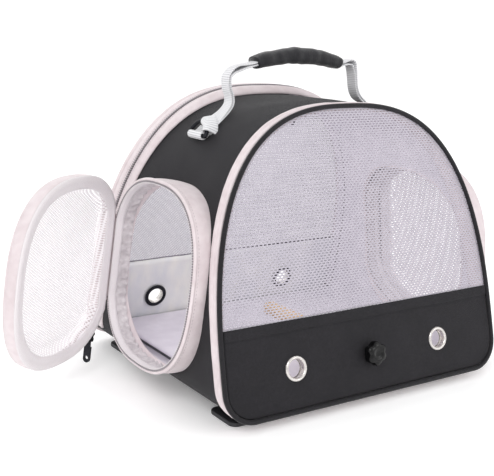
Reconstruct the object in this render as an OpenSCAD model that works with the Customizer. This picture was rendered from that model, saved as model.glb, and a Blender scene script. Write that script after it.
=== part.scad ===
// Soft-sided travel carrier for a small bird.
// Millimetres. X runs across the front, -Y is the front, +Z is up.
// The origin is on the floor, under the middle of the base.

/* [Bag] */
// Width across the front piping
bag_w = 300; // [270:1:340]
// Height from the base to the top of the arch
bag_h = 244; // [220:1:290]
// Depth along the base
bag_d = 264; // [240:1:300]
// Lean of the front and back panels, in degrees
panel_lean = 13; // [8:0.5:15]
// Height at which the arch is widest
belly_h = 28; // [24:1:40]
// Radius of the two bottom corners
corner_r = 28; // [20:1:32]
// Squareness of the arch's shoulders
shoulder_pow = 2.66; // [2.2:0.02:3]

/* [Fabric] */
// Thickness of the padded outer fabric
shell_t = 3; // [2:0.5:4]
// Thickness of the inner lining
lining_t = 1.2; // [0.8:0.1:2]
// Thickness of tapes and trim strips
tape_t = 1.2; // [0.8:0.1:1.6]
// Width of the piping that edges each panel
piping_w = 5; // [4:0.5:7]
// Width of the light strip behind the front piping
trim_w = 12; // [8:1:16]

/* [Front and back panels] */
// Thickness of the window net
net_t = 1; // [0.8:0.1:1.6]
// Pitch of the openings in the front and back nets
net_pitch = 15; // [14:0.5:18]
// Width of the threads between the openings
net_bar = 2; // [1.5:0.1:3]
// Height of the lower fabric band, up the panel
band_h = 77; // [66:1:90]
// Thickness of the lower fabric band
band_t = 2.2; // [1.5:0.1:3]
// Distance from the middle to each eyelet
eyelet_x = 79; // [60:1:100]
// Height of the eyelets, up the panel
eyelet_h = 37; // [28:1:46]
// Inner radius of an eyelet
eyelet_r = 7.6; // [5:0.1:9]
// Width of an eyelet's rolled flange
eyelet_flange = 3.6; // [2.5:0.1:4.5]
// Depth of the zipped rim round the back panel
rim_w = 30; // [26:1:36]

/* [Side doors] */
// Distance from the base's front edge back to the oval doorway
door_in_front = 43.7; // [40:0.1:52]
// Distance from the base's rear edge forward to the oval doorway
door_in_rear = 73.7; // [66:0.1:84]
// Half the height of the oval doorway
door_b = 79.8; // [70:0.1:82]
// Squareness of the oval
door_pow = 2.57; // [2.2:0.01:3]
// Height of the oval's centre above the base
door_z = 98.3; // [94:0.1:110]
// Distance from the bag's widest line out to the plane where door and collar meet
mate_out = 9; // [7:0.5:16]
// Lean of that plane, in degrees
mate_lean = 6.8; // [3:0.1:9]
// Depth of a side door
door_depth = 11; // [9:0.5:16]
// Thickness of the collar and door walls
door_wall_t = 2.2; // [1.6:0.1:3]
// Distance of the hinge in from the oval's rear end
hinge_in = 6.3; // [5:0.1:12]
// Depth of the gathered lining inside a collar
ruffle_w = 16.5; // [12:0.5:18]
// Thickness of its gathers
ruffle_t = 3; // [2:0.5:4]
// Distance from the mating plane in to the gathers
ruffle_in = 10.5; // [10:0.5:12]
// Length of the hinge fold
hinge_len = 80; // [60:1:86]
// Angle at which the left door stands open
left_open = 56; // [0:1:110]
// Droop of the open soft door, as a share of its width
door_sag = 0.07; // [0:0.01:0.1]

/* [Floor] */
// Thickness of the runners under the base
runner_t = 8; // [5:0.5:12]
// Depth of a runner
runner_d = 42; // [30:1:50]
// Length of a runner
runner_l = 266; // [220:1:280]
// Distance of a runner from the edge of the base
runner_in = 5; // [3:1:16]
// Thickness of the stiff floor board
board_t = 2.4; // [1.6:0.1:4]
// Thickness of the floor pad
pad_t = 6; // [4:0.5:10]

/* [Perch] */
// Diameter of the wooden perch
perch_d = 14; // [10:0.5:18]
// Length of the perch
perch_l = 150; // [100:1:180]
// Diameter of the threaded stud
stud_d = 6; // [5:0.5:8]
// Diameter of the star knob
knob_d = 21; // [18:0.5:26]
// Height of the star knob
knob_h = 12; // [9:0.5:16]

/* [Handle] */
// Width of the handle webbing
web_w = 25; // [20:1:26]
// Thickness of the webbing
web_t = 2.2; // [1.6:0.1:3]
// Distance from the bag's widest line in to each ring's bar
ring_in = 46.5; // [42:0.5:54]
// Radius of the ring's wire centre line
ring_r = 13.5; // [12.5:0.5:15]
// Diameter of the ring's wire
ring_wire = 3.6; // [3:0.2:4.4]
// Length of the ring tab's sewn tail, outwards from the bar
tab_tail = 11; // [9:0.5:12]
// Length of the ring tab's lip, inwards from the bar
tab_lip = 7.5; // [6:0.5:8]
// Thickness of the ring tab's webbing
tab_t = 1.6; // [1.2:0.1:2]
// Lean of the rings towards the middle, in degrees
ring_lean = 30; // [10:1:34]
// Height of the handle above the top of the arch
handle_rise = 36; // [32:1:60]
// Half the length of the padded sleeve
sleeve_half = 54; // [44:1:58]
// Thickness of the padded sleeve
sleeve_t = 13; // [9:0.5:18]
// Width of the padded sleeve
sleeve_w = 32; // [29:1:38]

/* [Hidden] */
$fn = 48;

black = "#37363a";
blush = "#e4d6d6";
lilac = "#beb8c2";
silver_cloth = "#cdcfd5";
webbing_grey = "#d8d8da";
gunmetal = "#55565c";

// Running gaps
gap = 0.3;
run_clear = 0.05;

// Layers of the bag's wall, as distances inside the piping's outer edge
skin_in = 2;
tape_in = skin_in - tape_t;
lining_in = skin_in + shell_t;
cabin_in = lining_in + lining_t;

// Places worked out from the bag's width and depth
mate_x = bag_w / 2 + mate_out;
ring_x = bag_w / 2 - ring_in;
door_a = (bag_d - door_in_front - door_in_rear) / 2;
door_front = (door_in_rear - door_in_front) / 2;
hinge_back = door_a - hinge_in;

// Heights
base_z = runner_t;
board_z = base_z + cabin_in * cos(panel_lean);
pad_z = board_z + board_t;
slope_h = bag_h / cos(panel_lean);

// Back rim: the seam lies between the bag's tape and the door's tape
seam = rim_w / 2 + 1;
seam_gap = 0.4;
rim_foot = 16;
hinge_tape_d = 26;

// Arch outline of a panel, measured up its slope and moved in by i
function arch(i = 0) =
  let (hw = bag_w / 2, steps = 22)
  concat(
    [for (a = [0:15:90]) [hw - corner_r + (corner_r - i) * sin(a), corner_r - (corner_r - i) * cos(a)]],
    [for (k = [1:steps - 1]) let (t = 180 * k / steps)
      [(hw - i) * sign(cos(t)) * pow(abs(cos(t)), 2 / shoulder_pow),
       belly_h + (slope_h - i - belly_h) * pow(sin(t), 2 / shoulder_pow)]],
    [for (a = [90:-15:0]) [-hw + corner_r - (corner_r - i) * sin(a), corner_r - (corner_r - i) * cos(a)]]
  );

// Height of the bag's fabric surface above the floor at a distance x from the middle
function top_z(x) =
  base_z + cos(panel_lean) * (belly_h + (slope_h - skin_in - belly_h)
    * pow(1 - pow(abs(x) / (bag_w / 2 - skin_in), shoulder_pow), 1 / shoulder_pow));

// Slope of that surface at x, in degrees
function top_slope(x) = atan2(top_z(x + 1) - top_z(x - 1), 2);

// Bag cross-section run from front to back, moved in by i
module bag_prism(i) {
  translate([0, 0, base_z]) rotate([90, 0, 0])
    linear_extrude(2 * bag_d, center = true)
      polygon([for (p = arch(i)) [p.x, p.y * cos(panel_lean)]]);
}

// All that lies between distances d1 and d2 inside the front (-1) or back (1) panel
module slab(side, d1, d2) {
  z1 = -40;
  z2 = bag_h + 60;
  translate([0, 0, base_z]) rotate([90, 0, 90])
    linear_extrude(2 * bag_w, center = true)
      polygon([for (q = [[d1, z1], [d2, z1], [d2, z2], [d1, z2]])
        [side * (bag_d / 2 - q[1] * tan(panel_lean) - q[0] / cos(panel_lean)), q[1]]]);
}

// Frame of the front panel: x across, y up the slope, z outwards
module on_front() {
  translate([0, -bag_d / 2, base_z]) rotate([90 - panel_lean, 0, 0]) children();
}

module on_back() {
  mirror([0, 1, 0]) on_front() children();
}

module arch_ring(i1, i2) {
  difference() {
    polygon(arch(i1));
    polygon(arch(i2));
  }
}

// Depth of the piping behind a panel's face
piping_back = piping_w * 0.64;

// A rounded cord round the panel's edge
module panel_piping() {
  round_off = piping_w * 0.2;
  translate([0, 0, -piping_back]) {
    linear_extrude(round_off) arch_ring(round_off, piping_w - round_off);
    translate([0, 0, round_off]) linear_extrude(piping_w - 2 * round_off) arch_ring(0, piping_w);
    translate([0, 0, piping_w - round_off]) linear_extrude(round_off) arch_ring(round_off, piping_w - round_off);
  }
}

// Square openings between threads, inside the children's outline
module net(pitch, bar, reach) {
  difference() {
    children(0);
    intersection() {
      children(1);
      union() {
        for (x = [-reach:pitch:reach], y = [-reach:pitch:reach])
          translate([x, y]) square(pitch - bar, center = true);
      }
    }
  }
}

net_border = piping_w + 5;

module panel_net() {
  translate([0, 0, -piping_w * 0.4]) linear_extrude(net_t)
    net(net_pitch, net_bar, net_pitch * ceil(slope_h / net_pitch)) {
      intersection() {
        polygon(arch(piping_w));
        translate([-bag_w, band_h]) square([2 * bag_w, bag_h]);
      }
      intersection() {
        polygon(arch(net_border));
        translate([-bag_w, band_h + net_border - piping_w]) square([2 * bag_w, bag_h]);
      }
    }
}

// Outline of the lower band, less the holes for eyelets and stud
module band_outline(top, stud_hole) {
  difference() {
    intersection() {
      polygon(arch(piping_w));
      translate([-bag_w, 0]) square([2 * bag_w, top]);
    }
    for (s = [-1, 1])
      translate([s * eyelet_x, eyelet_h]) circle(eyelet_r + 1);
    if (stud_hole) translate([0, eyelet_h]) circle(stud_d / 2 + gap);
  }
}

band_z = -piping_w * 0.4 - band_t;
band_lining_t = 0.8;

module panel_band(stud_hole) {
  translate([0, 0, band_z]) linear_extrude(band_t) band_outline(band_h - gap, stud_hole);
}

module panel_band_lining(stud_hole) {
  translate([0, 0, band_z - band_lining_t]) linear_extrude(band_lining_t)
    band_outline(band_h - 2, stud_hole);
}

// Keeps a leaning panel's layers clear of the wrap that they stand in
module in_wrap() {
  intersection() {
    children();
    bag_prism(lining_in + gap);
  }
}

// Rolled metal eyelet: a barrel with a rounded flange on each face
module eyelet() {
  grip = band_t + band_lining_t;
  roll = eyelet_flange / 2;
  translate([0, 0, band_z - band_lining_t]) {
    difference() {
      translate([0, 0, -1]) cylinder(r = eyelet_r + 1, h = grip + 2);
      translate([0, 0, -3]) cylinder(r = eyelet_r, h = grip + 6);
    }
    for (z = [-1.2, grip])
      translate([0, 0, z]) difference() {
        cylinder(r = eyelet_r + eyelet_flange, h = 1.2);
        translate([0, 0, -1]) cylinder(r = eyelet_r + 1, h = 4);
      }
    translate([0, 0, grip + 1.2]) rotate_extrude()
      translate([eyelet_r + roll, 0]) intersection() {
        circle(roll * 0.7);
        translate([-roll, 0]) square([2 * roll, roll]);
      }
  }
}

module panel_eyelets() {
  for (s = [-1, 1]) translate([s * eyelet_x, eyelet_h, 0]) eyelet();
}

// ---- bag ----

module doorway_cuts(i) {
  for (s = [0, 1]) mirror([s, 0, 0])
    doorway() translate([0, 0, -60]) linear_extrude(80) collar_outline(i);
}

// The wrap of fabric between two sets of insets, open at the doorways; start is its set-back from a panel
module wrap(i1, i2, start) {
  difference() {
    intersection() {
      difference() {
        bag_prism(i1);
        bag_prism(i2);
      }
      slab(-1, start, 2 * bag_d);
      union() {
        slab(1, seam + seam_gap, 2 * bag_d);
        intersection() {
          slab(1, start, 2 * bag_d);
          translate([-bag_w, -bag_d, 0]) cube([2 * bag_w, 2 * bag_d, base_z + rim_foot - seam_gap]);
        }
      }
    }
    doorway_cuts(door_wall_t);
  }
}

module gusset_shell() color(black) wrap(skin_in, lining_in, piping_back + gap);

module gusset_lining() color(lilac) wrap(lining_in, cabin_in, band_lining_t - band_z + gap);

module front_trim_strip() color(blush)
  intersection() {
    difference() {
      bag_prism(tape_in);
      bag_prism(skin_in);
    }
    slab(-1, piping_back + gap, piping_back + trim_w);
  }

module front_piping() color(black) on_front() panel_piping();

module front_mesh() color("#8d8c92") on_front() panel_net();

module front_lower_band() color(black) in_wrap() on_front() panel_band(true);

module front_band_lining() color(silver_cloth) in_wrap() on_front() panel_band_lining(true);

module front_eyelets() color("silver") on_front() panel_eyelets();

// Root half of the zip: a tape with its row of teeth along the seam
module rear_zip_tape() color(blush)
  intersection() {
    union() {
      intersection() {
        difference() {
          bag_prism(tape_in);
          bag_prism(skin_in);
        }
        slab(1, seam + seam_gap, rim_w);
      }
      intersection() {
        difference() {
          bag_prism(0);
          bag_prism(tape_in);
        }
        slab(1, seam + seam_gap, seam + 2);
      }
    }
    translate([-bag_w, -bag_d, base_z + rim_foot]) cube([2 * bag_w, 2 * bag_d, bag_h]);
  }

// Strip that the back door folds on, under the edge of the base
module rear_hinge_tape() color(black)
  intersection() {
    difference() {
      bag_prism(tape_in);
      bag_prism(skin_in);
    }
    slab(1, piping_back + gap, hinge_tape_d);
    translate([-bag_w / 2 + corner_r, 0, 0]) cube([bag_w - 2 * corner_r, bag_d, base_z + piping_w]);
  }

module ceiling_loop() color(black) {
  loop_w = 10;
  drop = 16;
  top = base_z + (slope_h - cabin_in) * cos(panel_lean) + 1 - gap;
  translate([0, loop_w / 2, top - drop]) rotate([90, 0, 0])
    linear_extrude(loop_w) {
      difference() {
        union() {
          circle(5);
          translate([-5, 0]) square([10, drop - 1]);
        }
        circle(3.6);
        translate([-3.6, 0]) square([7.2, drop - 3]);
      }
    }
}

// ---- side doorways ----

// Frame of the left doorway: x towards the front, y up, z outwards, on the plane where the door meets
module doorway() {
  translate([-mate_x, -door_front, base_z + door_z]) rotate([0, mate_lean, 0]) rotate([90, 0, -90])
    children();
}

function oval(i, sag = 0) =
  [for (k = [0:47]) let (t = 7.5 * k,
      x = (door_a - i) * sign(cos(t)) * pow(abs(cos(t)), 2 / door_pow),
      y = (door_b - i) * sign(sin(t)) * pow(abs(sin(t)), 2 / door_pow))
    [x, y - sag * (x + hinge_back)]];

fold_r = 1.6;
collar_back = fold_r + 0.9;
door_back = fold_r + gap;

module collar_outline(i) {
  intersection() {
    polygon(oval(i));
    translate([-hinge_back - collar_back + i, -2 * door_b]) square([4 * door_a, 4 * door_b]);
  }
}

module door_outline(i, sag) {
  intersection() {
    polygon(oval(i, sag));
    translate([-hinge_back + door_back + i, -2 * door_b]) square([4 * door_a, 4 * door_b]);
  }
}

module fold_rod(extra = 0) {
  translate([-hinge_back, 0, 0]) rotate([90, 0, 0])
    cylinder(r = fold_r, h = hinge_len + extra, center = true);
}

module collar() {
  difference() {
    doorway() difference() {
      union() {
        translate([0, 0, -46]) linear_extrude(46 - gap) collar_outline(0);
        translate([0, 0, -3.2]) linear_extrude(3.2 - 2 * gap) collar_outline(-0.7);
      }
      translate([0, 0, -50]) linear_extrude(60) collar_outline(door_wall_t);
      fold_rod(0.6);
    }
    bag_prism(skin_in);
  }
}

module collar_tape() {
  doorway() difference() {
    translate([0, 0, -10]) linear_extrude(10 - gap) difference() {
      collar_outline(door_wall_t);
      collar_outline(door_wall_t + tape_t);
    }
    fold_rod(0.6);
  }
}

// Soft gathered lining just inside the mouth
module collar_ruffle() {
  doorway() translate([0, 0, -ruffle_in - ruffle_w]) linear_extrude(ruffle_w) difference() {
    collar_outline(door_wall_t);
    collar_outline(door_wall_t + ruffle_t);
  }
}

module hinge_fold() {
  doorway() {
    fold_rod();
  }
}

// Places the children as a side door, swung open by the angle a
module side_door(a) {
  doorway() translate([-hinge_back, 0, 0]) rotate([0, -a, 0]) translate([hinge_back, 0, 0]) children();
}

module door_wall(sag) {
  translate([0, 0, gap + tape_t]) linear_extrude(door_depth - gap - tape_t) difference() {
    door_outline(0, sag);
    door_outline(door_wall_t, sag);
  }
}

door_tape_w = 9;

module door_tape(sag) {
  translate([0, 0, gap]) linear_extrude(tape_t) difference() {
    door_outline(0, sag);
    door_outline(door_tape_w, sag);
  }
}

door_net_pitch = 13;

module door_mesh(sag) {
  translate([0, 0, door_depth - net_t - 1]) linear_extrude(net_t)
    net(door_net_pitch, net_bar, door_net_pitch * ceil(door_b / door_net_pitch)) {
      door_outline(door_wall_t, sag);
      door_outline(door_tape_w + 1, sag);
    }
}

module door_binding(sag) {
  translate([0, 0, door_depth]) linear_extrude(1.6) difference() {
    door_outline(0.4, sag);
    door_outline(4, sag);
  }
}

// ---- zip sliders and pull tabs ----

slider_l = 11;
slider_w = 8;
slider_h = 3;
pull_bar_z = slider_h + 1.6;
pull_l = 22;

// Slider on a tape: x along the teeth, z away from the tape
module slider() {
  translate([-slider_l / 2, -slider_w / 2, 0]) cube([slider_l, slider_w, slider_h]);
  for (s = [-1, 1])
    translate([0, s * (slider_w / 2 - 0.6), slider_h]) rotate([90, 0, 0]) linear_extrude(1.2, center = true)
      difference() {
        union() {
          translate([-2, 0]) square([4, 1.6]);
          translate([0, 1.6]) circle(2);
        }
      }
  translate([0, 0, pull_bar_z]) rotate([90, 0, 0]) cylinder(r = 0.8, h = slider_w - 1.2, center = true);
}

// Pull tab on the slider's bar, swung away from the tape by the angle hang
module pull(hang) {
  w = slider_w - 2.4 - 2 * gap;
  translate([0, 0, pull_bar_z]) rotate([0, -hang, 0]) difference() {
    union() {
      rotate([90, 0, 0]) cylinder(r = 1.6, h = w, center = true);
      translate([1, -w / 2, -0.6]) cube([8, w, 1.2]);
      translate([7, 0, -0.8]) linear_extrude(1.6) difference() {
        union() {
          translate([0, -3.5]) square([pull_l - 10.5, 7]);
          translate([pull_l - 10.5, 0]) circle(3.5);
        }
        translate([pull_l - 11.5, 0]) circle(1.6);
      }
    }
    rotate([90, 0, 0]) cylinder(r = 0.8 + gap, h = 2 * w, center = true);
  }
}

// The door's slider waits at the lower end of its zip, near the hinge
slider_turn = 235;
slider_x = -door_a * pow(abs(cos(slider_turn)), 2 / door_pow);
slider_y = -door_b * pow(abs(sin(slider_turn)), 2 / door_pow);
slider_face = atan2(pow(-slider_x / door_a, door_pow - 1) / door_a, pow(-slider_y / door_b, door_pow - 1) / door_b);

module at_door_slider(sag) {
  translate([slider_x, slider_y - sag * (slider_x + hinge_back), 1 + slider_w / 2])
    rotate([0, 0, -slider_face]) rotate([90, 0, 0]) translate([0, 0, gap]) children();
}

module at_rear_slider() {
  on_back() translate([bag_w / 2 + gap, rim_foot + 34, -seam + slider_w / 2 + 0.6])
    rotate([0, 90, 0]) rotate([0, 0, -90]) children();
}

// ---- back door ----

module rear_door_rim() color(blush)
  intersection() {
    union() {
      intersection() {
        difference() {
          bag_prism(tape_in);
          bag_prism(lining_in);
        }
        slab(1, piping_back, seam);
      }
      intersection() {
        difference() {
          bag_prism(0);
          bag_prism(tape_in);
        }
        slab(1, seam - 1.6, seam);
      }
    }
    translate([-bag_w, -bag_d, base_z + rim_foot]) cube([2 * bag_w, 2 * bag_d, bag_h]);
  }

// ---- floor ----

module round_plate(w, d, r) {
  difference() {
    square([w, d], center = true);
    for (sx = [-1, 1], sy = [-1, 1])
      translate([sx * (w / 2 - r), sy * (d / 2 - r)]) difference() {
        translate([sx * r, sy * r]) square(2 * r, center = true);
        circle(r);
      }
  }
}

// Runner under the front (-1) or back (1) edge, notched for the strip that lies over the edge
module runner(side, strip_d) {
  difference() {
    translate([0, side * (bag_d / 2 - runner_in - runner_d / 2), 0])
      linear_extrude(base_z + skin_in * cos(panel_lean)) round_plate(runner_l, runner_d, 9);
    intersection() {
      bag_prism(tape_in);
      slab(side, -piping_w, strip_d + gap);
    }
  }
}

// ---- handle ----

bar_r = ring_wire / 2;
tab_in_r = bar_r + run_clear * 4;
tab_out_r = tab_in_r + tab_t;
tab_w = 1.55 * ring_r;
bar_z = top_z(ring_x) + (tape_t + tab_out_r - 0.4) / cos(top_slope(ring_x));
swing_clear = 2.2;
loop_seat = 0.5;
loop_flat = 2;
loop_wall = 1.5;
loop_half = 11;
loop_in_r = bar_r + swing_clear;
loop_lift = swing_clear - loop_seat;
loop_crown = ring_r + loop_lift + loop_in_r;
crown_z = base_z + bag_h + handle_rise;
sleeve_drop = 8.5;
sleeve_bow = (sleeve_half * sleeve_half + sleeve_drop * sleeve_drop) / (2 * sleeve_drop);
sleeve_arc = asin(sleeve_half / sleeve_bow);

// Frame of the left ring: centre of its bar, z towards the crown of the ring
module at_ring() {
  translate([-ring_x, 0, bar_z]) rotate([0, ring_lean, 0]) children();
}

module d_ring() {
  at_ring() {
    rotate([90, 0, 0]) cylinder(r = bar_r, h = 2 * ring_r, center = true);
    rotate([0, 90, 0]) rotate([0, 0, 90]) rotate_extrude(angle = 180) translate([ring_r, 0]) circle(bar_r);
    for (s = [-1, 1]) translate([0, s * ring_r, 0]) sphere(bar_r);
  }
}

// Webbing tab folded round the ring's bar and sewn down on the gusset
module ring_tab() {
  intersection() {
    difference() {
      bag_prism(tape_in);
      bag_prism(skin_in);
    }
    translate([-ring_x - tab_tail, -tab_w / 2, 0]) cube([tab_tail + tab_lip, tab_w, 2 * bag_h]);
  }
  translate([-ring_x, 0, bar_z]) difference() {
    rotate([90, 0, 0]) cylinder(r = tab_out_r, h = tab_w, center = true);
    rotate([90, 0, 0]) cylinder(r = tab_in_r, h = 2 * tab_w, center = true);
  }
}

// Middle line of the left leg, from the ring's crown up to the sleeve, as x and height
leg = [
  [-ring_x + (loop_crown + loop_wall / 2) * sin(ring_lean), bar_z + (loop_crown + loop_wall / 2) * cos(ring_lean)],
  [-ring_x + 16, bar_z + 21],
  [-ring_x + 26, bar_z + 26],
  [-ring_x + 30, bar_z + 32],
  [-ring_x + 31, bar_z + 40],
  [-ring_x + 36, crown_z - sleeve_drop - 6],
  [-sleeve_half - 4, crown_z - sleeve_drop - 1.6],
  [-sleeve_half, crown_z - sleeve_drop]
];

function unit(v) = v / norm(v);
function path_side(p, k, w) =
  let (a = p[max(k - 1, 0)], b = p[min(k + 1, len(p) - 1)], d = unit(b - a))
  [p[k].x - d.y * w / 2, p[k].y + d.x * w / 2];

module strap_profile(p, w) {
  n = len(p) - 1;
  polygon(concat([for (k = [0:n]) path_side(p, k, w)], [for (k = [n:-1:0]) path_side(p, k, -w)]));
}

module sleeve_sweep() {
  translate([0, 0, crown_z - sleeve_bow]) rotate([90, 0, 0]) rotate([0, 0, 90 - sleeve_arc])
    rotate_extrude(angle = 2 * sleeve_arc) children();
}

// Flattened tube that follows the left ring's wire, of a half-thickness and up to an angle each way
module along_wire(r, half) {
  at_ring() rotate([0, 90, 0]) rotate([0, 0, 180 - half]) rotate_extrude(angle = 2 * half)
    translate([ring_r + loop_lift, 0]) {
      for (s = [-1, 1]) translate([0, s * loop_flat]) circle(r);
      translate([-r, -loop_flat]) square([2 * r, 2 * loop_flat]);
    }
}

// Turn of webbing through the left ring
module ring_loop() color(webbing_grey) difference() {
  along_wire(loop_in_r + loop_wall, loop_half);
  along_wire(loop_in_r, 2 * loop_half);
}

module handle_webbing() color(webbing_grey) {
  throat_w = 10;
  sleeve_sweep() translate([sleeve_bow - web_t / 2, -web_w / 2]) square([web_t, web_w]);
  for (s = [0, 1]) mirror([s, 0, 0]) difference() {
    intersection() {
      rotate([90, 0, 0]) linear_extrude(web_w, center = true) strap_profile(leg, web_t);
      linear_extrude(2 * bag_h) polygon([
        [-ring_x - 20, -throat_w / 2], [-ring_x + 22, -throat_w / 2], [-ring_x + 33, -web_w / 2], [0, -web_w / 2],
        [0, web_w / 2], [-ring_x + 33, web_w / 2], [-ring_x + 22, throat_w / 2], [-ring_x - 20, throat_w / 2]]);
    }
    along_wire(loop_in_r + loop_wall + run_clear, loop_half);
  }
}

module handle_sleeve() color(black) {
  sleeve_sweep() difference() {
    polygon([for (k = [0:23]) let (t = 15 * k)
      [sleeve_bow + sleeve_t / 2 * sign(cos(t)) * pow(abs(cos(t)), 0.75),
       sleeve_w / 2 * sign(sin(t)) * pow(abs(sin(t)), 0.75)]]);
    translate([sleeve_bow - web_t / 2, -web_w / 2]) square([web_t, web_w]);
  }
}

// ---- perch ----

knob_z = band_z + band_t + gap;
stud_out = knob_z + knob_h - 3;
washer_t = 1.4;
inner_z = band_z - band_lining_t - washer_t;

module perch_stud() color("silver") on_front() translate([0, eyelet_h, 0]) {
  translate([0, 0, inner_z - 16]) cylinder(d = stud_d, h = stud_out + 16 - inner_z);
  translate([0, 0, inner_z]) difference() {
    cylinder(r = stud_d / 2 + 6, h = washer_t);
    translate([0, 0, -1]) cylinder(r = stud_d / 2, h = washer_t + 2);
  }
}

// The end of the perch is cut to the panel's lean, so it lies level
module perch_dowel() color("#c9a26b") {
  perch_y = -bag_d / 2 + eyelet_h * sin(panel_lean);
  perch_z = base_z + eyelet_h * cos(panel_lean) + sin(panel_lean) * inner_z;
  difference() {
    translate([0, perch_y, perch_z]) rotate([-90, 0, 0]) {
      cylinder(d = perch_d, h = perch_l);
      translate([0, 0, perch_l]) intersection() {
        sphere(perch_d / 2);
        cylinder(d = perch_d, h = 4);
      }
    }
    on_front() translate([-perch_d, 0, inner_z]) cube([2 * perch_d, 2 * eyelet_h, 60]);
    on_front() translate([0, eyelet_h, inner_z - 16]) cylinder(d = stud_d, h = 40);
  }
}

module front_knob() color("#1c1c1f") on_front() translate([0, eyelet_h, knob_z]) {
  lobes = 6;
  difference() {
    union() {
      cylinder(d = knob_d * 0.62, h = 3);
      translate([0, 0, 3]) cylinder(d = knob_d * 0.74, h = knob_h - 3);
      translate([0, 0, 3.6]) for (k = [0:lobes - 1])
        rotate([0, 0, 360 / lobes * k]) translate([knob_d * 0.36, 0, 0]) cylinder(d = knob_d * 0.28, h = knob_h - 4.8);
    }
    translate([0, 0, -1]) cylinder(r = stud_d / 2 + run_clear, h = knob_h - 1);
  }
}

// ---- floor ----

// Plate that fills the flat of the base, less an edge all round
module floor_plan(h, edge) {
  w = bag_w - 2 * corner_r - 2 * edge;
  d = bag_d - 2 * ((band_lining_t - band_z) / cos(panel_lean) + (pad_z + pad_t - base_z) * tan(panel_lean)) - 2 * edge;
  linear_extrude(h) round_plate(w, d, 12);
}

module floor_board() color("#4a4a4e") translate([0, 0, board_z]) floor_plan(board_t, 3);

module floor_pad() color(lilac) translate([0, 0, pad_z]) floor_plan(pad_t, 1);

gusset_shell();
gusset_lining();
front_trim_strip();
front_piping();
front_mesh();
front_lower_band();
front_band_lining();
front_eyelets();
perch_stud();
perch_dowel();
floor_board();
floor_pad();
color(black) runner(-1, piping_back + trim_w);  // front_runner
color(black) runner(1, hinge_tape_d);  // rear_runner
rear_zip_tape();
rear_hinge_tape();
ceiling_loop();
color(webbing_grey) ring_tab();  // left_ring_tab
color(webbing_grey) mirror([1, 0, 0]) ring_tab();  // right_ring_tab
color(blush) collar();  // left_collar
color(blush) collar_tape();  // left_collar_tape
color(lilac) collar_ruffle();  // left_collar_ruffle
color(blush) hinge_fold();  // left_hinge_fold
color(blush) mirror([1, 0, 0]) collar();  // right_collar
color(blush) mirror([1, 0, 0]) collar_tape();  // right_collar_tape
color(lilac) mirror([1, 0, 0]) collar_ruffle();  // right_collar_ruffle
color(blush) mirror([1, 0, 0]) hinge_fold();  // right_hinge_fold
front_knob();
color(blush) on_back() panel_piping();  // rear_piping
color("#8d8c92") on_back() panel_net();  // rear_mesh
color(black) in_wrap() on_back() panel_band(false);  // rear_lower_band
color(silver_cloth) in_wrap() on_back() panel_band_lining(false);  // rear_band_lining
color("silver") on_back() panel_eyelets();  // rear_eyelets
rear_door_rim();
color(gunmetal) at_rear_slider() slider();  // rear_slider
color(blush) side_door(left_open) door_wall(door_sag);  // left_door_wall
color(blush) side_door(left_open) door_tape(door_sag);  // left_door_tape
color("white") side_door(left_open) door_mesh(door_sag);  // left_door_mesh
color(blush) side_door(left_open) door_binding(door_sag);  // left_door_binding
color(gunmetal) side_door(left_open) at_door_slider(door_sag) slider();  // left_slider
color(blush) mirror([1, 0, 0]) side_door(0) door_wall(0);  // right_door_wall
color(blush) mirror([1, 0, 0]) side_door(0) door_tape(0);  // right_door_tape
color("white") mirror([1, 0, 0]) side_door(0) door_mesh(0);  // right_door_mesh
color(blush) mirror([1, 0, 0]) side_door(0) door_binding(0);  // right_door_binding
color(gunmetal) mirror([1, 0, 0]) side_door(0) at_door_slider(0) slider();  // right_slider
handle_webbing();
handle_sleeve();
ring_loop();  // left_ring_loop
mirror([1, 0, 0]) ring_loop();  // right_ring_loop
color(gunmetal) d_ring();  // left_d_ring
color(gunmetal) mirror([1, 0, 0]) d_ring();  // right_d_ring
color(gunmetal) side_door(left_open) at_door_slider(door_sag) pull(90 - slider_face);  // left_pull
color(gunmetal) mirror([1, 0, 0]) side_door(0) at_door_slider(0) pull(90 - slider_face);  // right_pull
color(gunmetal) at_rear_slider() pull(0);  // rear_pull
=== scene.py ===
"""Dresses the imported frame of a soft-sided travel carrier.

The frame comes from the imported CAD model. Every cloth node of it is replaced here by a sewn,
rounded and slightly creased piece, and the metal, wood and plastic get their finishes.
Sizes are in millimetres, as in the part's source, and turn into metres in the mesh builders.
"""

import logging
import math
from dataclasses import dataclass, field
from enum import Enum
from typing import Callable, Optional, Sequence

import bmesh
import bpy
import numpy as np
from mathutils import Euler, Matrix, Vector, noise


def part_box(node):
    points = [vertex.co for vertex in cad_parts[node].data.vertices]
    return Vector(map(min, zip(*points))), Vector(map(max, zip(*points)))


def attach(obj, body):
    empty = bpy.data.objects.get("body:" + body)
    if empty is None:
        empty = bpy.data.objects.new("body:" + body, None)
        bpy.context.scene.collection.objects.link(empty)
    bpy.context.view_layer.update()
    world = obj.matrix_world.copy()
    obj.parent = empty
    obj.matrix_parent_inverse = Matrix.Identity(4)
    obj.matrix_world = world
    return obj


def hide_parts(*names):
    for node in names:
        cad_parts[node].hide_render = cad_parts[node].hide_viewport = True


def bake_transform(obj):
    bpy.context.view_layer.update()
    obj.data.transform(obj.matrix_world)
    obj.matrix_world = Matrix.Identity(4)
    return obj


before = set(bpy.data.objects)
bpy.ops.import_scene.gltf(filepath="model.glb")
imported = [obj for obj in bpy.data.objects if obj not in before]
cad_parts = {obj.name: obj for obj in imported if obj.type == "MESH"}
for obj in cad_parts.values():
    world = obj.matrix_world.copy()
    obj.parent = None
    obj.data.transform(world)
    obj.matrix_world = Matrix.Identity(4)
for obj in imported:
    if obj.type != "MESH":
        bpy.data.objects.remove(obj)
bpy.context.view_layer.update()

MM = 0.001
LOG = logging.getLogger("carrier")
Array = np.ndarray
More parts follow.
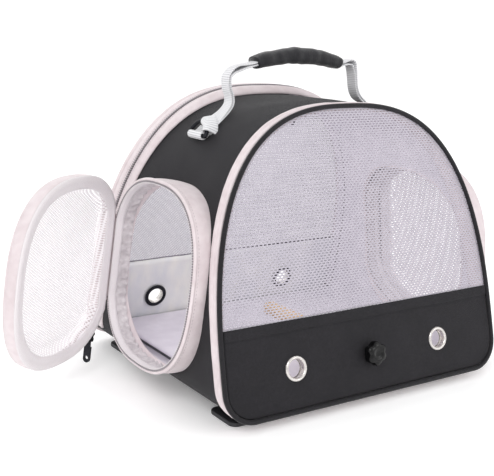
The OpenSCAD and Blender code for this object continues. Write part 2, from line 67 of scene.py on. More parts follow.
Piece = bpy.types.Object
Material = bpy.types.Material
Place = Callable[[Array], Array]


# --- shape of the bag


def superellipse(turns: Array, half_w: float, half_h: float, power: float) -> Array:
    """Points of a squared oval.

    Args:
        turns: angles in radians.
        half_w: half the width.
        half_h: half the height.
        power: squareness, 2 for an ellipse.

    Returns:
        An array of x, y rows.
    """
    c, s = np.cos(turns), np.sin(turns)
    return np.stack([half_w * np.sign(c) * np.abs(c) ** (2 / power),
                     half_h * np.sign(s) * np.abs(s) ** (2 / power)], axis=1)


def respaced(points: Array, count: int, closed: bool = True) -> Array:
    """Evenly spaced points along a line.

    Args:
        points: the line's points.
        count: how many points come back.
        closed: whether the line returns to its start.

    Returns:
        The new points.
    """
    line = np.vstack([points, points[:1]]) if closed else points
    steps = np.linalg.norm(np.diff(line, axis=0), axis=1)
    along = np.concatenate([[0.0], np.cumsum(steps)])
    wanted = np.linspace(0.0, along[-1], count + closed)[:count]
    return np.stack([np.interp(wanted, along, line[:, k]) for k in range(line.shape[1])], axis=1)


def unit(vectors: Array) -> Array:
    """Vectors scaled to length one."""
    return vectors / np.maximum(np.linalg.norm(vectors, axis=-1, keepdims=True), 1e-12)


def circle(count: int) -> Array:
    """Evenly spaced angles round a full turn."""
    return np.linspace(0, 2 * math.pi, count + 1)[:-1]


def clamped(value: float) -> float:
    """A value held between 0 and 1."""
    return min(1.0, max(0.0, value))


def heading(loop: Array) -> Array:
    """Unit vectors along a closed line."""
    return unit(np.roll(loop, -1, 0) - np.roll(loop, 1, 0))


def with_depth(flat: Array, depth: "float | Array") -> Array:
    """Rows of x, y with a depth beside them."""
    return np.column_stack([flat, np.broadcast_to(depth, len(flat))])


def spot(place: Place, x: float, y: float, z: float) -> Array:
    """One point through a placing function."""
    return place(np.array([[x, y, z]], float))[0]


def directions(place: Place) -> tuple[Array, Array]:
    """Outward and upward unit vectors of a placing function."""
    origin = spot(place, 0, 0, 0)
    return spot(place, 0, 0, 1) - origin, spot(place, 0, 1, 0) - origin


def upright(path: Array) -> Array:
    """Rows of x and height as points over the bag's middle line."""
    return np.column_stack([path[:, 0], np.zeros(len(path)), path[:, 1]])


def faces_in(grid: Array) -> bool:
    """Whether the faces of a grid over the bag's arch would point inwards at its top."""
    k = int(np.argmax(grid[:, 0, 2]))
    normal = np.cross(grid[(k + 1) % len(grid), 0] - grid[k, 0], grid[k, 1] - grid[k, 0])
    return normal[2] < 0


def ripple(point: Sequence[float], wave: float, seed: float = 0.0) -> float:
    """Smooth noise from about -1 to 1.

    Args:
        point: a place in millimetres.
        wave: rough distance between crests.
        seed: picks another pattern.

    Returns:
        The height.
    """
    return noise.noise(Vector((point[0] / wave + seed, point[1] / wave - seed, point[2] / wave + 0.7 * seed)))


@dataclass(frozen=True)
class BagForm:
    """The arch, its lean and its layers, as in the part's source."""

    width: float = 300.0
    height: float = 244.0
    depth: float = 264.0
    lean: float = math.radians(13.0)
    belly: float = 28.0
    corner: float = 28.0
    power: float = 2.66
    floor: float = 8.0
    seam: float = 16.0
    rim: float = 30.0
    rim_foot: float = 16.0
    skin: float = 2.0
    lining: float = 5.0

    @property
    def slope_height(self) -> float:
        """Height of a panel, up its slope."""
        return self.height / math.cos(self.lean)

    def arch(self, inset: float, count: int = 240) -> Array:
        """Outline of a panel moved in by an inset.

        Args:
            inset: distance inside the piping's outer edge.
            count: how many evenly spaced points come back.

        Returns:
            Rows of x and height up the slope, anticlockwise from the middle of the base.
        """
        half = self.width / 2
        radius = self.corner - inset
        low = np.linspace(0.0, math.pi / 2, 16)
        right = np.stack([half - self.corner + radius * np.sin(low),
                          self.corner - radius * np.cos(low)], axis=1)
        turns = np.linspace(0.0, math.pi, 200)[1:-1]
        top = superellipse(turns, half - inset, self.slope_height - inset - self.belly, self.power)
        top[:, 1] += self.belly
        left = right[::-1] * [-1, 1]
        loop = np.vstack([[[0.0, inset]], right, top, left])
        return respaced(loop, count)

    def on_front(self, panel: Array) -> Array:
        """Points of the front panel, as x, height up the slope and distance outwards, in the bag's frame."""
        x, up, out = panel[..., 0], panel[..., 1], panel[..., 2]
        s, c = math.sin(self.lean), math.cos(self.lean)
        return np.stack([x, -self.depth / 2 + up * s - out * c, self.floor + up * c + out * s], axis=-1)

    def on_back(self, panel: Array) -> Array:
        """Points of the back panel in the bag's frame."""
        return self.on_front(panel) * [1, -1, 1]

    def panel_y(self, height: Array, inside: float) -> Array:
        """Distance from the middle to the plane that lies some way inside a panel.

        Args:
            height: heights above the floor.
            inside: distance inside the panel.

        Returns:
            The distances.
        """
        return self.depth / 2 - (height - self.floor) * math.tan(self.lean) - inside / math.cos(self.lean)

    def skin_height(self, x: float, inset: float) -> float:
        """Height above the floor of the wrap's top over a distance x from the middle."""
        half = self.width / 2 - inset
        rise = max(0.0, 1 - (abs(x) / half) ** self.power) ** (1 / self.power)
        return self.floor + math.cos(self.lean) * (self.belly + (self.slope_height - inset - self.belly) * rise)

    def inside(self, x: float, z: float, inset: float) -> bool:
        """Whether a point of the cross-section lies inside the wrap at that inset."""
        up = (z - self.floor) / math.cos(self.lean)
        half = self.width / 2 - inset
        return abs(x) < half and (z < self.skin_height(x, inset) if up >= self.belly else up > inset)


@dataclass(frozen=True)
class DoorwayForm:
    """The oval doorway on one side, with the frame in which its door is drawn."""

    side: int = -1
    mate: float = 159.0
    lean: float = math.radians(6.8)
    front: float = 15.0
    centre: float = 106.3
    half_w: float = 73.3
    half_h: float = 79.8
    power: float = 2.57
    hinge: float = 67.0
    depth: float = 11.0
    opened: float = 0.0
    droop: float = 0.0

    def outline(self, inset: float, cut: float, count: int, droop: float = 0.0) -> Array:
        """The oval moved in by an inset, flattened at the hinge.

        Args:
            inset: distance inside the oval.
            cut: x of the flat stretch.
            count: points that come back.
            droop: share by which the far end hangs.

        Returns:
            Rows of x towards the front and y up.
        """
        turns = circle(720)
        oval = superellipse(turns, self.half_w - inset, self.half_h - inset, self.power)
        oval[:, 0] = np.maximum(oval[:, 0], cut + inset)
        line = respaced(oval, count)
        line[:, 1] -= droop * (line[:, 0] + self.hinge)
        return line

    def collar(self, inset: float, count: int = 160) -> Array:
        """Outline of the collar round the doorway."""
        return self.outline(inset, -self.hinge - 2.5, count)

    def door(self, inset: float, count: int = 160) -> Array:
        """Outline of the door."""
        return self.outline(inset, -self.hinge + 1.9, count, self.droop)

    def place(self, local: Array) -> Array:
        """Doorway points, as x to the front, y up and z outwards, in the bag's frame."""
        across, along, up = -local[..., 2], -local[..., 0], local[..., 1]
        c, s = math.cos(self.lean), math.sin(self.lean)
        x = across * c + up * s - self.mate
        z = -across * s + up * c + self.centre
        return np.stack([-self.side * x, along - self.front, z], axis=-1)

    def place_door(self, local: Array) -> Array:
        """Points of the door, swung open about its hinge."""
        c, s = math.cos(self.opened), math.sin(self.opened)
        x, z = local[..., 0] + self.hinge, local[..., 2]
        turned = np.stack([x * c - z * s - self.hinge, local[..., 1], x * s + z * c], axis=-1)
        return self.place(turned)


BAG = BagForm()
LEFT = DoorwayForm(side=-1, opened=math.radians(56.0), droop=0.07)
RIGHT = DoorwayForm(side=1)


# --- mesh builders


def new_piece(name: str, points: Array, faces: list, uvs: Optional[list] = None) -> Piece:
    """Makes a smooth-shaded mesh object.

    Args:
        name: the piece's name.
        points: rows of x, y, z in millimetres.
        faces: index lists.
        uvs: one u, v pair in millimetres for each corner of each face.

    Returns:
        The linked object.
    """
    mesh = bpy.data.meshes.new(name)
    mesh.from_pydata((np.asarray(points, float) * MM).tolist(), [], faces)
    if uvs is not None:
        layer = mesh.uv_layers.new(name="cloth")
        layer.data.foreach_set("uv", np.asarray(uvs, float).ravel())
    mesh.shade_smooth()
    piece = bpy.data.objects.new(name, mesh)
    bpy.context.scene.collection.objects.link(piece)
    return piece


def grid_cells(nu: int, nv: int, flip: bool) -> list:
    """Row and column of the four corners of each face of a grid, row by row."""
    cells = [[(i, j), (i + 1, j), (i + 1, j + 1), (i, j + 1)] for i in range(nu - 1) for j in range(nv - 1)]
    return [cell[::-1] for cell in cells] if flip else cells


def cloth_grid(name: str, grid: Array, close_u: bool = False, close_v: bool = False,
               flip: bool = False, caps: bool = False) -> Piece:
    """A surface over a grid of points, with the distances along it as its UV map.

    Args:
        name: the piece's name.
        grid: nu by nv points in millimetres.
        close_u: joins the last row to the first.
        close_v: joins the last column to the first.
        flip: turns the faces over.
        caps: closes the two ends of a tube.

    Returns:
        The object.
    """
    nu, nv = grid.shape[:2]
    step_u = np.linalg.norm(np.roll(grid, -1, 0) - grid, axis=2).mean(1)
    step_v = np.linalg.norm(np.roll(grid, -1, 1) - grid, axis=2).mean(0)
    u = np.concatenate([[0], np.cumsum(step_u)])
    v = np.concatenate([[0], np.cumsum(step_v)])
    cells = grid_cells(nu + close_u, nv + close_v, flip)
    faces = [[a % nu * nv + b % nv for a, b in cell] for cell in cells]
    uvs = [(u[a], v[b]) for cell in cells for a, b in cell]
    if caps and not close_u:
        for row, turn in ((0, not flip), (nu - 1, flip)):
            ring = [row * nv + j for j in range(nv)]
            faces.append(ring[::-1] if turn else ring)
            uvs.extend((u[row], v[j]) for j in range(nv))
    return new_piece(name, grid.reshape(-1, 3), faces, uvs)


def tube_grid(path: Array, side: Array, out: Array, profile: Array) -> Array:
    """Grid of a profile carried along a path.

    Args:
        path: n points.
        side: n unit vectors for the profile's x.
        out: n unit vectors for the profile's y.
        profile: k rows of x, y, or n by k by 2 where it changes along the path.

    Returns:
        n by k points.
    """
    shape = profile if profile.ndim == 3 else np.broadcast_to(profile, (len(path),) + profile.shape)
    return path[:, None] + side[:, None] * shape[..., :1] + out[:, None] * shape[..., 1:]


def rounded_profile(width: float, thickness: float, count: int, power: float = 3.5) -> Array:
    """Cross-section of a tape or cord with rounded edges."""
    return superellipse(circle(count), width / 2, thickness / 2, power)


def settled(piece: Piece) -> Piece:
    """Applies a piece's modifiers to its mesh."""
    graph = bpy.context.evaluated_depsgraph_get()
    mesh = bpy.data.meshes.new_from_object(piece.evaluated_get(graph), depsgraph=graph)
    piece.modifiers.clear()
    piece.data = mesh
    return piece


def thickened(piece: Piece, thickness: float, offset: float = -1.0) -> Piece:
    """Gives a sheet its thickness, inwards by default, and applies it."""
    wall = piece.modifiers.new("thickness", "SOLIDIFY")
    wall.thickness = thickness * MM
    wall.offset = offset
    wall.use_even_offset = True
    return settled(piece)


def smoothed(piece: Piece) -> Piece:
    """Applies one level of subdivision."""
    soft = piece.modifiers.new("smooth", "SUBSURF")
    soft.levels = soft.render_levels = 1
    return settled(piece)


def cut_away(piece: Piece, cutter: Piece) -> Piece:
    """Takes a closed cutter out of a closed piece and deletes the cutter."""
    hole = piece.modifiers.new("hole", "BOOLEAN")
    hole.object = cutter
    hole.operation = "DIFFERENCE"
    hole.solver = "EXACT"
    settled(piece)
    bpy.data.objects.remove(cutter)
    return piece


def softened(grid: Array, out: Array, height: Callable[[Array, int, int], float]) -> Array:
    """Moves each point of a grid along its outward vector.

    Args:
        grid: nu by nv points.
        out: nu by nv unit vectors.
        height: gives the distance for a point and its two indices.

    Returns:
        The moved grid.
    """
    lift = np.array([[height(grid[i, j], i, j) for j in range(grid.shape[1])] for i in range(grid.shape[0])])
    return grid + out * lift[..., None]


def grid_normals(grid: Array) -> Array:
    """Unit normals of a grid whose rows go round."""
    return unit(np.cross(np.roll(grid, -1, 0) - np.roll(grid, 1, 0), np.gradient(grid, axis=1)))


def turned_part(name: str, profile: Array, centre: Array, axis: Array, across: Array,
                count: int = 48) -> Piece:
    """A turned part from a closed profile of radius and height.

    Args:
        name: the piece's name.
        profile: rows of radius and distance along the axis.
        centre: the foot of the axis.
        axis: its direction.
        across: any direction at right angles to it.
        count: facets round it.

    Returns:
        The object.
    """
    turns = circle(count)[:, None]
    spokes = np.cos(turns) * across + np.sin(turns) * np.cross(axis, across)
    grid = centre + spokes[:, None] * profile[None, :, :1] + axis * profile[None, :, 1:]
    return cloth_grid(name, grid, close_u=True, close_v=True)


def joined(name: str, pieces: Sequence[Piece]) -> Piece:
    """Joins pieces into the first one and renames it."""
    first = pieces[0]
    with bpy.context.temp_override(active_object=first, selected_editable_objects=list(pieces)):
        bpy.ops.object.join()
    first.name = first.data.name = name
    return first


def bent_strip(name: str, path: Array, profile: Array) -> Piece:
    """A closed strip with its profile carried along a path of x and height."""
    line = upright(path)
    across = np.broadcast_to([0.0, 1.0, 0.0], line.shape)
    grid = tube_grid(line, across, np.cross(unit(np.gradient(line, axis=0)), across), profile)
    return mended(cloth_grid(name, grid, close_v=True, caps=True))


def mended(piece: Piece, fill: bool = False, merge: bool = True) -> Piece:
    """Mends a closed piece's mesh and points its faces outwards.

    Args:
        piece: the piece.
        fill: closes its open ends first.
        merge: joins points that lie on each other.

    Returns:
        The piece.
    """
    bm = bmesh.new()
    bm.from_mesh(piece.data)
    if fill:
        bmesh.ops.holes_fill(bm, edges=bm.edges, sides=0)
    if merge:
        bmesh.ops.remove_doubles(bm, verts=bm.verts, dist=1e-6)
    bmesh.ops.recalc_face_normals(bm, faces=bm.faces)
    bm.to_mesh(piece.data)
    bm.free()
    return piece


# --- rows of stitches and teeth


class RowUnit(Enum):
    """What a row repeats."""

    STITCH = "stitch"
    TOOTH = "tooth"


@dataclass
class RowMaker:
    """Builds one geometry tree that repeats a unit along a line, and uses it for every row."""

    unit: RowUnit
    tree: Optional[bpy.types.GeometryNodeTree] = None
    sockets: dict = field(default_factory=dict)

    def build(self) -> bpy.types.GeometryNodeTree:
        """Builds the tree, with inputs for pitch and size."""
        tree = bpy.data.node_groups.new(f"row_of_{self.unit.value}", "GeometryNodeTree")
        face = tree.interface
        face.new_socket("Line", in_out="INPUT", socket_type="NodeSocketGeometry")
        for name, kind in (("Pitch", "NodeSocketFloat"), ("Size", "NodeSocketVector")):
            self.sockets[name] = face.new_socket(name, in_out="INPUT", socket_type=kind).identifier
        face.new_socket("Row", in_out="OUTPUT", socket_type="NodeSocketGeometry")

        def add(kind: str, **settings: object) -> bpy.types.Node:
            """Adds a node with its settings."""
            node = tree.nodes.new(kind)
            for key, value in settings.items():
                setattr(node, key, value)
            return node

        given, done = add("NodeGroupInput"), add("NodeGroupOutput")
        curve = add("GeometryNodeMeshToCurve")
        spaced = add("GeometryNodeResampleCurve", mode="LENGTH")
        tangent = add("GeometryNodeInputTangent")
        outward = add("GeometryNodeInputNamedAttribute", data_type="FLOAT_VECTOR")
        outward.inputs["Name"].default_value = "outward"
        turn = add("FunctionNodeAxesToRotation", primary_axis="X", secondary_axis="Z")
        copies = add("GeometryNodeInstanceOnPoints")
        block = add("GeometryNodeMeshCube")
        soft = add("GeometryNodeSubdivisionSurface")
        real = add("GeometryNodeRealizeInstances")
        smooth = add("GeometryNodeSetShadeSmooth")
        is_stitch = self.unit is RowUnit.STITCH
        soft.inputs["Level"].default_value = int(is_stitch)
        smooth.inputs["Shade Smooth"].default_value = is_stitch
        for source, output, target, slot in (
                (given, "Line", curve, "Mesh"), (curve, "Curve", spaced, "Curve"),
                (given, "Pitch", spaced, "Length"), (spaced, "Curve", copies, "Points"),
                (tangent, "Tangent", turn, "Primary Axis"), (outward, "Attribute", turn, "Secondary Axis"),
                (turn, "Rotation", copies, "Rotation"), (given, "Size", block, "Size"),
                (block, "Mesh", soft, "Mesh"), (soft, "Mesh", copies, "Instance"),
                (copies, "Instances", real, "Geometry"), (real, "Geometry", smooth, "Geometry"),
                (smooth, "Geometry", done, "Row")):
            tree.links.new(source.outputs[output], target.inputs[slot])
        self.tree = tree
        return tree

    def along(self, name: str, line: Array, outward: Array, pitch: float, size: Sequence[float],
              closed: bool = False) -> Piece:
        """Lays one row.

        Args:
            name: the piece's name.
            line: n points in millimetres.
            outward: n unit vectors away from the cloth.
            pitch: distance from unit to unit.
            size: the unit's length along the line, width and height.
            closed: whether the line returns to its start.

        Returns:
            The row as a plain mesh object.
        """
        tree = self.tree or self.build()
        count = len(line)
        mesh = bpy.data.meshes.new(name)
        edges = [(k, (k + 1) % count) for k in range(count if closed else count - 1)]
        mesh.from_pydata((line * MM).tolist(), edges, [])
        tag = mesh.attributes.new("outward", "FLOAT_VECTOR", "POINT")
        tag.data.foreach_set("vector", np.asarray(outward, float).ravel())
        row = bpy.data.objects.new(name, mesh)
        bpy.context.scene.collection.objects.link(row)
        maker = row.modifiers.new("row", "NODES")
        maker.node_group = tree
        maker[self.sockets["Pitch"]] = pitch * MM
        maker[self.sockets["Size"]] = [s * MM for s in size]
        return settled(row)


STITCHES = RowMaker(RowUnit.STITCH)
TEETH = RowMaker(RowUnit.TOOTH)


# --- finishes


def operator(kind: str, swapped: bool = False) -> Callable[..., "Sum"]:
    """A method of Sum that adds one Math node.

    Args:
        kind: the node's operation.
        swapped: whether the other value comes first.

    Returns:
        The method.
    """
    def method(self: "Sum", *others: "Sum | float") -> "Sum":
        """The node's result."""
        node = self.tree.nodes.new("ShaderNodeMath")
        node.operation = kind
        terms = (*others, self) if swapped else (self, *others)
        for slot, term in zip(node.inputs, terms):
            if isinstance(term, Sum):
                self.tree.links.new(term.socket, slot)
            else:
                slot.default_value = float(term)
        return Sum(self.tree, node.outputs[0])
    return method


@dataclass(frozen=True, eq=False)
class Sum:
    """A number in a shader, with ordinary arithmetic on its socket."""

    tree: bpy.types.NodeTree
    socket: bpy.types.NodeSocket

    __add__ = __radd__ = operator("ADD")
    __sub__ = operator("SUBTRACT")
    __rsub__ = operator("SUBTRACT", swapped=True)
    __mul__ = __rmul__ = operator("MULTIPLY")
    __truediv__ = operator("DIVIDE")
    __pow__ = operator("POWER")
    __abs__ = operator("ABSOLUTE")
    fraction = operator("FRACT")
    whole = operator("FLOOR")
    sine = operator("SINE")
    lower_of = operator("MINIMUM")

    def step(self, low: float, high: float) -> "Sum":
        """Smooth rise from 0 at low to 1 at high."""
        node = self.tree.nodes.new("ShaderNodeMapRange")
        node.interpolation_type = "SMOOTHSTEP"
        node.inputs["From Min"].default_value = low
        node.inputs["From Max"].default_value = high
        self.tree.links.new(self.socket, node.inputs["Value"])
        return Sum(self.tree, node.outputs[0])


class Surface:
    """One material under construction."""

    def __init__(self, name: str) -> None:
        """Starts a material with an empty tree and one shader."""
        self.material = bpy.data.materials.new(name)
        self.material.use_nodes = True
        self.tree = self.material.node_tree
        self.tree.nodes.clear()
        self.shader = self.tree.nodes.new("ShaderNodeBsdfPrincipled")
        self.output = self.tree.nodes.new("ShaderNodeOutputMaterial")
        self.tree.links.new(self.shader.outputs[0], self.output.inputs["Surface"])

    def add(self, kind: str, settings: Optional[dict] = None, values: Optional[dict] = None) -> bpy.types.Node:
        """Adds a node.

        Args:
            kind: the node's type.
            settings: its properties, set first.
            values: numbers, colours, sockets or sums for its inputs, by name or index.

        Returns:
            The node.
        """
        node = self.tree.nodes.new(kind)
        for key, value in (settings or {}).items():
            setattr(node, key, value)
        for key, value in (values or {}).items():
            slot = node.inputs[key]
            if isinstance(value, Sum):
                self.tree.links.new(value.socket, slot)
            elif isinstance(value, bpy.types.NodeSocket):
                self.tree.links.new(value, slot)
            else:
                slot.default_value = value
        return node

    def cloth_xy(self, turn: float = 0.0) -> tuple[Sum, Sum]:
        """Distances along and across the cloth, in millimetres, turned by an angle."""
        uv = self.add("ShaderNodeUVMap", {"uv_map": "cloth"})
        turned = self.add("ShaderNodeMapping", None, {"Vector": uv.outputs[0], "Rotation": (0, 0, turn)})
        parts = self.add("ShaderNodeSeparateXYZ", None, {0: turned.outputs[0]})
        return Sum(self.tree, parts.outputs[0]), Sum(self.tree, parts.outputs[1])

    def speckle(self, size: float, detail: float = 2.0, stretch: Sequence[float] = (1, 1, 1),
                roughness: float = 0.5) -> Sum:
        """Noise in the object's own space.

        Args:
            size: rough size of a spot in millimetres.
            detail: how many finer layers.
            stretch: scale along each axis.
            roughness: strength of the finer layers.

        Returns:
            A value round 0.5.
        """
        place = self.add("ShaderNodeTexCoord")
        scaled = self.add("ShaderNodeMapping", None, {"Vector": place.outputs["Object"], "Scale": tuple(stretch)})
        spots = self.add("ShaderNodeTexNoise", None, {
            "Vector": scaled.outputs[0], "Scale": 1 / (size * MM), "Detail": detail, "Roughness": roughness})
        return Sum(self.tree, spots.outputs[0])

    def blend(self, share: Sum, low: Sequence[float], high: Sequence[float]) -> bpy.types.NodeSocket:
        """Colour between two, by a share from 0 to 1."""
        mix = self.add("ShaderNodeMix", {"data_type": "RGBA"}, {"Factor": share})
        mix.inputs[6].default_value = (*low, 1)
        mix.inputs[7].default_value = (*high, 1)
        return mix.outputs[2]

    def finish(self, color: bpy.types.NodeSocket, roughness: "Sum | float", bump: Optional[Sum] = None,
               depth: float = 0.1, **fixed: object) -> Material:
        """Connects what varies, sets what doesn't, and returns the material.

        Args:
            color: a colour socket.
            roughness: a sum or a number.
            bump: height pattern from 0 to 1.
            depth: its height in millimetres.
            fixed: values of other sockets, with underscores for spaces.

        Returns:
            The material.
        """
        shader = self.shader
        self.tree.links.new(color, shader.inputs["Base Color"])
        if isinstance(roughness, Sum):
            self.tree.links.new(roughness.socket, shader.inputs["Roughness"])
        else:
            shader.inputs["Roughness"].default_value = roughness
        if bump is not None:
            relief = self.add("ShaderNodeBump", None, {"Height": bump, "Distance": depth * MM, "Strength": 1.0})
            self.tree.links.new(relief.outputs[0], shader.inputs["Normal"])
        for name, value in fixed.items():
            shader.inputs[name.replace("_", " ")].default_value = value
        return self.material


def linear(color: Sequence[float]) -> tuple:
    """An sRGB colour of 0 to 255 as linear light."""
    return tuple(c / 12.92 if c <= 0.04045 else ((c + 0.055) / 1.055) ** 2.4 for c in (c / 255 for c in color))


@dataclass(frozen=True)
class Finish:
    """A named finish between two sRGB tones."""

    name: str
    dark: tuple
    light: tuple

    def tone(self, s: Surface, share: Sum) -> bpy.types.NodeSocket:
        """Its colour, by a share from the dark to the light tone."""
        return s.blend(share, linear(self.dark), linear(self.light))


@dataclass(frozen=True)
class WovenCloth(Finish):
    """Plain-woven cloth: crossed threads, slubs, and slow creases."""

    thread: float = 0.55
    relief: float = 0.09
    crease: float = 0.25
    sheen: float = 0.2
    rough: float = 0.8

    def build(self) -> Material:
        """Builds the material."""
        s = Surface(self.name)
        u, v = s.cloth_xy()
        turn = math.pi / self.thread
        across, along = abs((u * turn).sine()), abs((v * turn).sine())
        check = ((u / self.thread).whole() + (v / self.thread).whole()) * 0.5
        over = check.fraction() * 2
        weave = over * across + (1 - over) * along
        slub = s.speckle(2.2, 3, (1, 1, 1), 0.65)
        wide = s.speckle(26, 2)
        fold = s.speckle(9, 3, (1, 1, 0.5))
        tone = (weave * 0.35 + slub * 0.75 + wide * 0.35 - 0.35).step(0, 1)
        relief = weave * self.relief + fold * self.crease + slub * 0.12
        return s.finish(self.tone(s, tone), self.rough - 0.12 * weave, relief, 1.0,
                        Sheen_Weight=self.sheen, Sheen_Roughness=0.45, Specular_IOR_Level=0.22)


@dataclass(frozen=True)
class SatinCloth(Finish):
    """Smooth, slightly shiny lining or binding cloth with soft puckers."""

    pucker: float = 0.5
    size: float = 7.0
    stretch: tuple = (1.0, 1.0, 1.0)
    rough: float = 0.5
    metallic: float = 0.0
    sheen: float = 0.25

    def build(self) -> Material:
        """Builds the material."""
        s = Surface(self.name)
        u, v = s.cloth_xy()
        thread = abs((u * 9.0).sine()) * 0.5 + abs((v * 9.0).sine()) * 0.5
        puckers = s.speckle(self.size, 3, self.stretch)
        slow = s.speckle(self.size * 4, 2, self.stretch)
        # The tone follows the same pucker noise as the relief: the dark tone lies in the puckers' hollows as painted
        # shade and the light tone on their crests as a painted sheen.
        tone = (puckers * 0.5 + slow * 0.7 - 0.1).step(0.1, 0.95)
        relief = puckers * self.pucker + slow * self.pucker * 2 + thread * 0.02
        return s.finish(self.tone(s, tone), self.rough + 0.15 * puckers, relief, 1.0,
                        Metallic=self.metallic, Sheen_Weight=self.sheen, Sheen_Roughness=0.4)


@dataclass(frozen=True)
class WindowNet(Finish):
    """Fine net: threads that leave small openings in staggered rows."""

    pitch: tuple = (4.0, 2.1)
    hole: tuple = (0.33, 0.25)
    soft: float = 0.6
    turn: float = 0.0
    rough: float = 0.6

    def build(self) -> Material:
        """Builds the material."""
        s = Surface(self.name)
        u, v = s.cloth_xy(self.turn)
        row = v / self.pitch[1]
        shift = (row.whole() * 0.5).fraction()
        x = abs((u / self.pitch[0] + shift).fraction() - 0.5) / self.hole[0]
        y = abs(row.fraction() - 0.5) / self.hole[1]
        away = x ** 4 + y ** 4
        thread = away.step(1 - self.soft, 1 + self.soft)
        s.tree.links.new(thread.socket, s.shader.inputs["Alpha"])
        tone = s.speckle(12, 2)
        return s.finish(self.tone(s, tone), self.rough, away.lower_of(2.0) * 0.1, 0.6)


@dataclass(frozen=True)
class RibbedTape(Finish):
    """Webbing or zip tape with ribs across it."""

    rib: float = 1.6
    relief: float = 0.35
    along: bool = True
    rough: float = 0.65

    def build(self) -> Material:
        """Builds the material."""
        s = Surface(self.name)
        u, v = s.cloth_xy()
        run, cross = (u, v) if self.along else (v, u)
        ribs = abs((run * (math.pi / self.rib)).sine())
        threads = abs((cross * (math.pi / 0.9)).sine())
        fuzz = s.speckle(1.4, 3)
        tone = (ribs * 0.75 + threads * 0.25 + fuzz * 0.4 - 0.2).step(0, 1)
        return s.finish(self.tone(s, tone), self.rough, ribs * 0.7 + threads * 0.3, self.relief,
                        Sheen_Weight=0.2)


@dataclass(frozen=True)
class PlatedMetal(Finish):
    """Plated metal with fine scratches and dulled, darker patches."""

    rough: float = 0.22

    def build(self) -> Material:
        """Builds the material."""
        s = Surface(self.name)
        scratch = s.speckle(0.5, 4, (1, 6, 1))
        patch = s.speckle(5, 3)
        tone = (patch * 0.7 + scratch * 0.5 - 0.1).step(0.2, 0.9)
        return s.finish(self.tone(s, tone), self.rough + 0.2 * patch, scratch, 0.02,
                        Metallic=1.0)


@dataclass(frozen=True)
class MouldedPlastic(Finish):
    """Moulded plastic with a faint grain."""

    rough: float = 0.4
    grain: float = 0.8
    relief: float = 0.03
    coat: float = 0.0
    specular: float = 0.5

    def build(self) -> Material:
        """Builds the material."""
        s = Surface(self.name)
        grain = s.speckle(self.grain, 3)
        patch = s.speckle(14, 2)
        return s.finish(self.tone(s, patch), self.rough + 0.12 * (patch - 0.5), grain, self.relief,
                        Coat_Weight=self.coat, Coat_Roughness=0.06, Specular_IOR_Level=self.specular)


@dataclass(frozen=True)
class SandedWood(Finish):
    """Pale wood with its grain along the perch."""

    def build(self) -> Material:
        """Builds the material."""
        s = Surface(self.name)
        streaks = s.speckle(2.4, 5, (1, 0.06, 1), 0.6)
        pores = s.speckle(0.6, 2, (1, 0.12, 1))
        tone = (streaks * 1.3 + pores * 0.3 - 0.4).step(0, 1)
        return s.finish(self.tone(s, tone), 0.55 + 0.15 * pores, streaks * 0.6 + pores * 0.4, 0.12)


RECIPES = {
    "black": WovenCloth("black_oxford", (24, 23, 26), (44, 42, 47), sheen=0.06),
    "binding": WovenCloth("black_binding", (20, 19, 22), (38, 36, 41), 0.45, 0.06, 0.1, 0.08, 0.6),
    "blush": SatinCloth("blush_satin", (209, 195, 198), (229, 219, 221), 0.25, 6.0),
    "lining": SatinCloth("lilac_lining", (206, 200, 210), (228, 223, 231), 0.6, 12.0),
    # Silver satin: its warm, near-white light tone is a painted sheen on the pucker crests.
    "silver": SatinCloth("silver_satin", (216, 220, 228), (250, 249, 240), 0.9, 11.0,
                         (1.0, 1.0, 0.45), 0.34, 0.2, 0.4),
    # Gathered lining: a darker copy of the lilac lining, whose dark tone is painted shade in its folds.
    "ruffle": SatinCloth("gathered_lining", (170, 162, 166), (226, 220, 222), 0.7, 3.5),
    "window_net": WindowNet("window_net", (170, 165, 176), (190, 184, 194)),
    "rear_net": WindowNet("rear_window_net", (168, 163, 174), (186, 181, 191), (1.7, 1.2), (0.27, 0.25)),
    "white_net": WindowNet("white_door_net", (236, 231, 234), (250, 246, 248), (2.4, 1.9),
                           (0.27, 0.27), 0.4, 0.5),
    "tape": RibbedTape("zip_tape", (212, 205, 208), (232, 226, 228), 0.8, 0.12),
    "teeth": MouldedPlastic("zip_teeth", (128, 122, 127), (160, 154, 158), 0.35),
    "webbing": RibbedTape("ribbed_webbing", (182, 182, 186), (234, 234, 236), 1.7, 0.2),
    "sleeve": WovenCloth("sleeve_cloth", (26, 26, 29), (48, 47, 52), 0.6, 0.1, 0.35, 0.25, 0.62),
    "nickel": PlatedMetal("polished_nickel", (204, 199, 196), (232, 228, 225), 0.16),
    "gunmetal": PlatedMetal("gunmetal", (38, 38, 42), (62, 63, 68), 0.42),
    "zinc": PlatedMetal("zinc_plate", (168, 168, 172), (205, 205, 208), 0.35),
    "knob": MouldedPlastic("glossy_knob", (7, 7, 8), (12, 12, 13), 0.16, 1.2, 0.01, 0.0, 0.3),
    "runner": MouldedPlastic("runner_plastic", (34, 34, 37), (48, 48, 52), 0.5),
    "wood": SandedWood("pale_wood", (186, 148, 100), (226, 196, 150)),
    "board": MouldedPlastic("floor_board", (66, 66, 70), (86, 86, 90), 0.7),
    "dark_thread": MouldedPlastic("dark_thread", (30, 30, 33), (58, 57, 62), 0.7),
    "pale_thread": MouldedPlastic("pale_thread", (170, 162, 165), (200, 193, 195), 0.7),
}


@dataclass
class Assembly:
    """A sub-assembly, with the materials that it wears by their recipes' keys."""

    finishes: dict

    def dress(self, piece: Piece, finish: str, body: str, slot: str, *nodes: str) -> None:
        """Gives a piece its finish and its body, and hides the nodes that it stands for.

        Args:
            piece: the piece.
            finish: the key of its material.
            body: the body that it rides on.
            slot: not used.
            nodes: the CAD nodes that it replaces.
        """
        piece.data.materials.clear()
        piece.data.materials.append(self.finishes[finish])
        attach(piece, body)
        if nodes:
            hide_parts(*nodes)


# --- the bag's wrap


